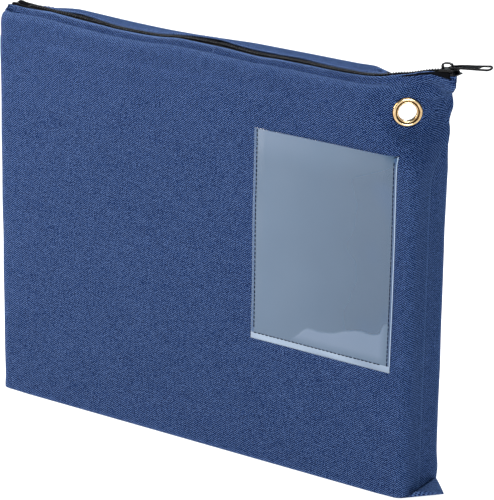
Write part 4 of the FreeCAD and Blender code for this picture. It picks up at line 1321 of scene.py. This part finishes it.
def window_stitches():
    """Running stitches down both sides and along the foot of the film, with a tack at the end."""
    half = 0.22
    x_low, x_high, z_low = SEAM_LOW[0] + half, SEAM_HIGH[0] - half, SEAM_LOW[2] + half
    top = SEAM_HIGH[2]
    corners = [(x_low, top), (x_low, z_low), (x_high, z_low), (x_high, top)]
    parts = []
    out = np.array([0.0, -1.0, 0.0])
    for (x0, z0), (x1, z1) in zip(corners, corners[1:]):
        count = int(max(abs(x1 - x0), abs(z1 - z0)))
        x, z = np.linspace(x0, x1, count), np.linspace(z0, z1, count)
        path = np.column_stack([x, front_surface(x, z) - 0.44, z])
        parts += stitch_parts(path, 3.7, 3.1, 0.42, out * 0.22)
    tack = np.array([(x_high - 0.8, top - 0.6), (x_high + 3.6, top + 1.2)])
    x, z = np.linspace(*tack[:, 0], 8), np.linspace(*tack[:, 1], 8)
    path = np.column_stack([x, front_surface(x, z) - 0.6, z])
    parts.append(tube_mesh(path, 0.4, 6))
    points, faces = join_meshes(parts)
    fixed(mesh_piece("card_window_stitches", points, faces, NAVY_THREAD), "window_thread",
          "window_stitching")


film = window_film()
window_stitches()

# ------------------------------------------------------------------------ floor, light and camera

def area_light(name, location, target, size, energy, color=(1, 1, 1)):
    data = bpy.data.lights.new(name, "AREA")
    data.shape = "RECTANGLE"
    data.size, data.size_y = size
    data.energy = energy
    data.color = color
    light = bpy.data.objects.new(name, data)
    bpy.context.scene.collection.objects.link(light)
    light.location = location
    direction = Vector(target) - Vector(location)
    light.rotation_euler = direction.to_track_quat("-Z", "Y").to_euler()


FLOOR_HEIGHT = -0.9        # just under the bag's thickest cloth
FLOOR_REACH = 12000


def floor():
    """A plain pale floor, wide enough to be the background."""
    material, tree, shader = node_material("pale_floor")
    drift = noise(tree, object_place(tree), 3)
    paint(tree, shader, drift, [(0.3, (0.39, 0.39, 0.395)), (0.7, (0.42, 0.42, 0.42))])
    set_inputs(shader, Roughness=0.9, Specular_IOR_Level=0.0, Emission_Color=(1, 1, 1, 1),
               Emission_Strength=0.86)
    points = [(x * FLOOR_REACH, y * FLOOR_REACH, FLOOR_HEIGHT)
              for x, y in ((-1, -1), (1, -1), (1, 1), (-1, 1))]
    obj = mesh_piece("floor", points, [(0, 1, 2, 3)], material)


def studio():
    """A warm key from the left, a cool light from the right corner, soft ones above and behind."""
    world = bpy.data.worlds.new("studio")
    bpy.context.scene.world = world
    world.use_nodes = True
    background = world.node_tree.nodes["Background"]
    set_inputs(background, Color=(0.78, 0.92, 1.0, 1), Strength=0.30)
    area_light("key", (-0.86, -0.80, 0.72), (-0.02, 0, 0.18), (0.6, 0.6), 27, (1.06, 1.0, 0.95))
    area_light("top", (-0.1, 0.4, 1.6), (0, 0, 0.2), (1.0, 0.6), 20)
    area_light("behind", (-0.4, 2.2, 1.3), (0, 0, 0.2), (1.2, 1.2), 26)
    area_light("corner", (2.2, -2.0, 1.2), (0.1, 0, 0.2), (1.0, 1.0), 86, (0.80, 0.96, 1.08))


# The photo's camera, recovered from the straight edges of the body and of the window: metres
# from the origin, then yaw, pitch and roll.
CAMERA_PLACE = (1.2839, -1.8748, 0.9557)
CAMERA_TURN = (33.745, 19.212, -1.084)


def camera():
    """A long lens, looking from the right of the front and a little down."""
    data = bpy.data.cameras.new("camera")
    data.lens, data.sensor_width = 208.8, 36
    data.clip_end = 50
    obj = bpy.data.objects.new("camera", data)
    bpy.context.scene.collection.objects.link(obj)
    yaw, pitch, roll = (math.radians(a) for a in CAMERA_TURN)
    forward = np.array([-math.sin(yaw) * math.cos(pitch), math.cos(yaw) * math.cos(pitch),
                        -math.sin(pitch)])
    right = np.array([math.cos(yaw), math.sin(yaw), 0])
    down = np.cross(forward, right)
    level = math.cos(roll) * right + math.sin(roll) * down
    lower = -math.sin(roll) * right + math.cos(roll) * down
    turn = Matrix([list(row) for row in np.column_stack([level, -lower, -forward])]).to_4x4()
    obj.matrix_world = Matrix.Translation(CAMERA_PLACE) @ turn
    bpy.context.scene.camera = obj


floor()
studio()
camera()
bpy.context.scene.view_settings.view_transform = "Standard"
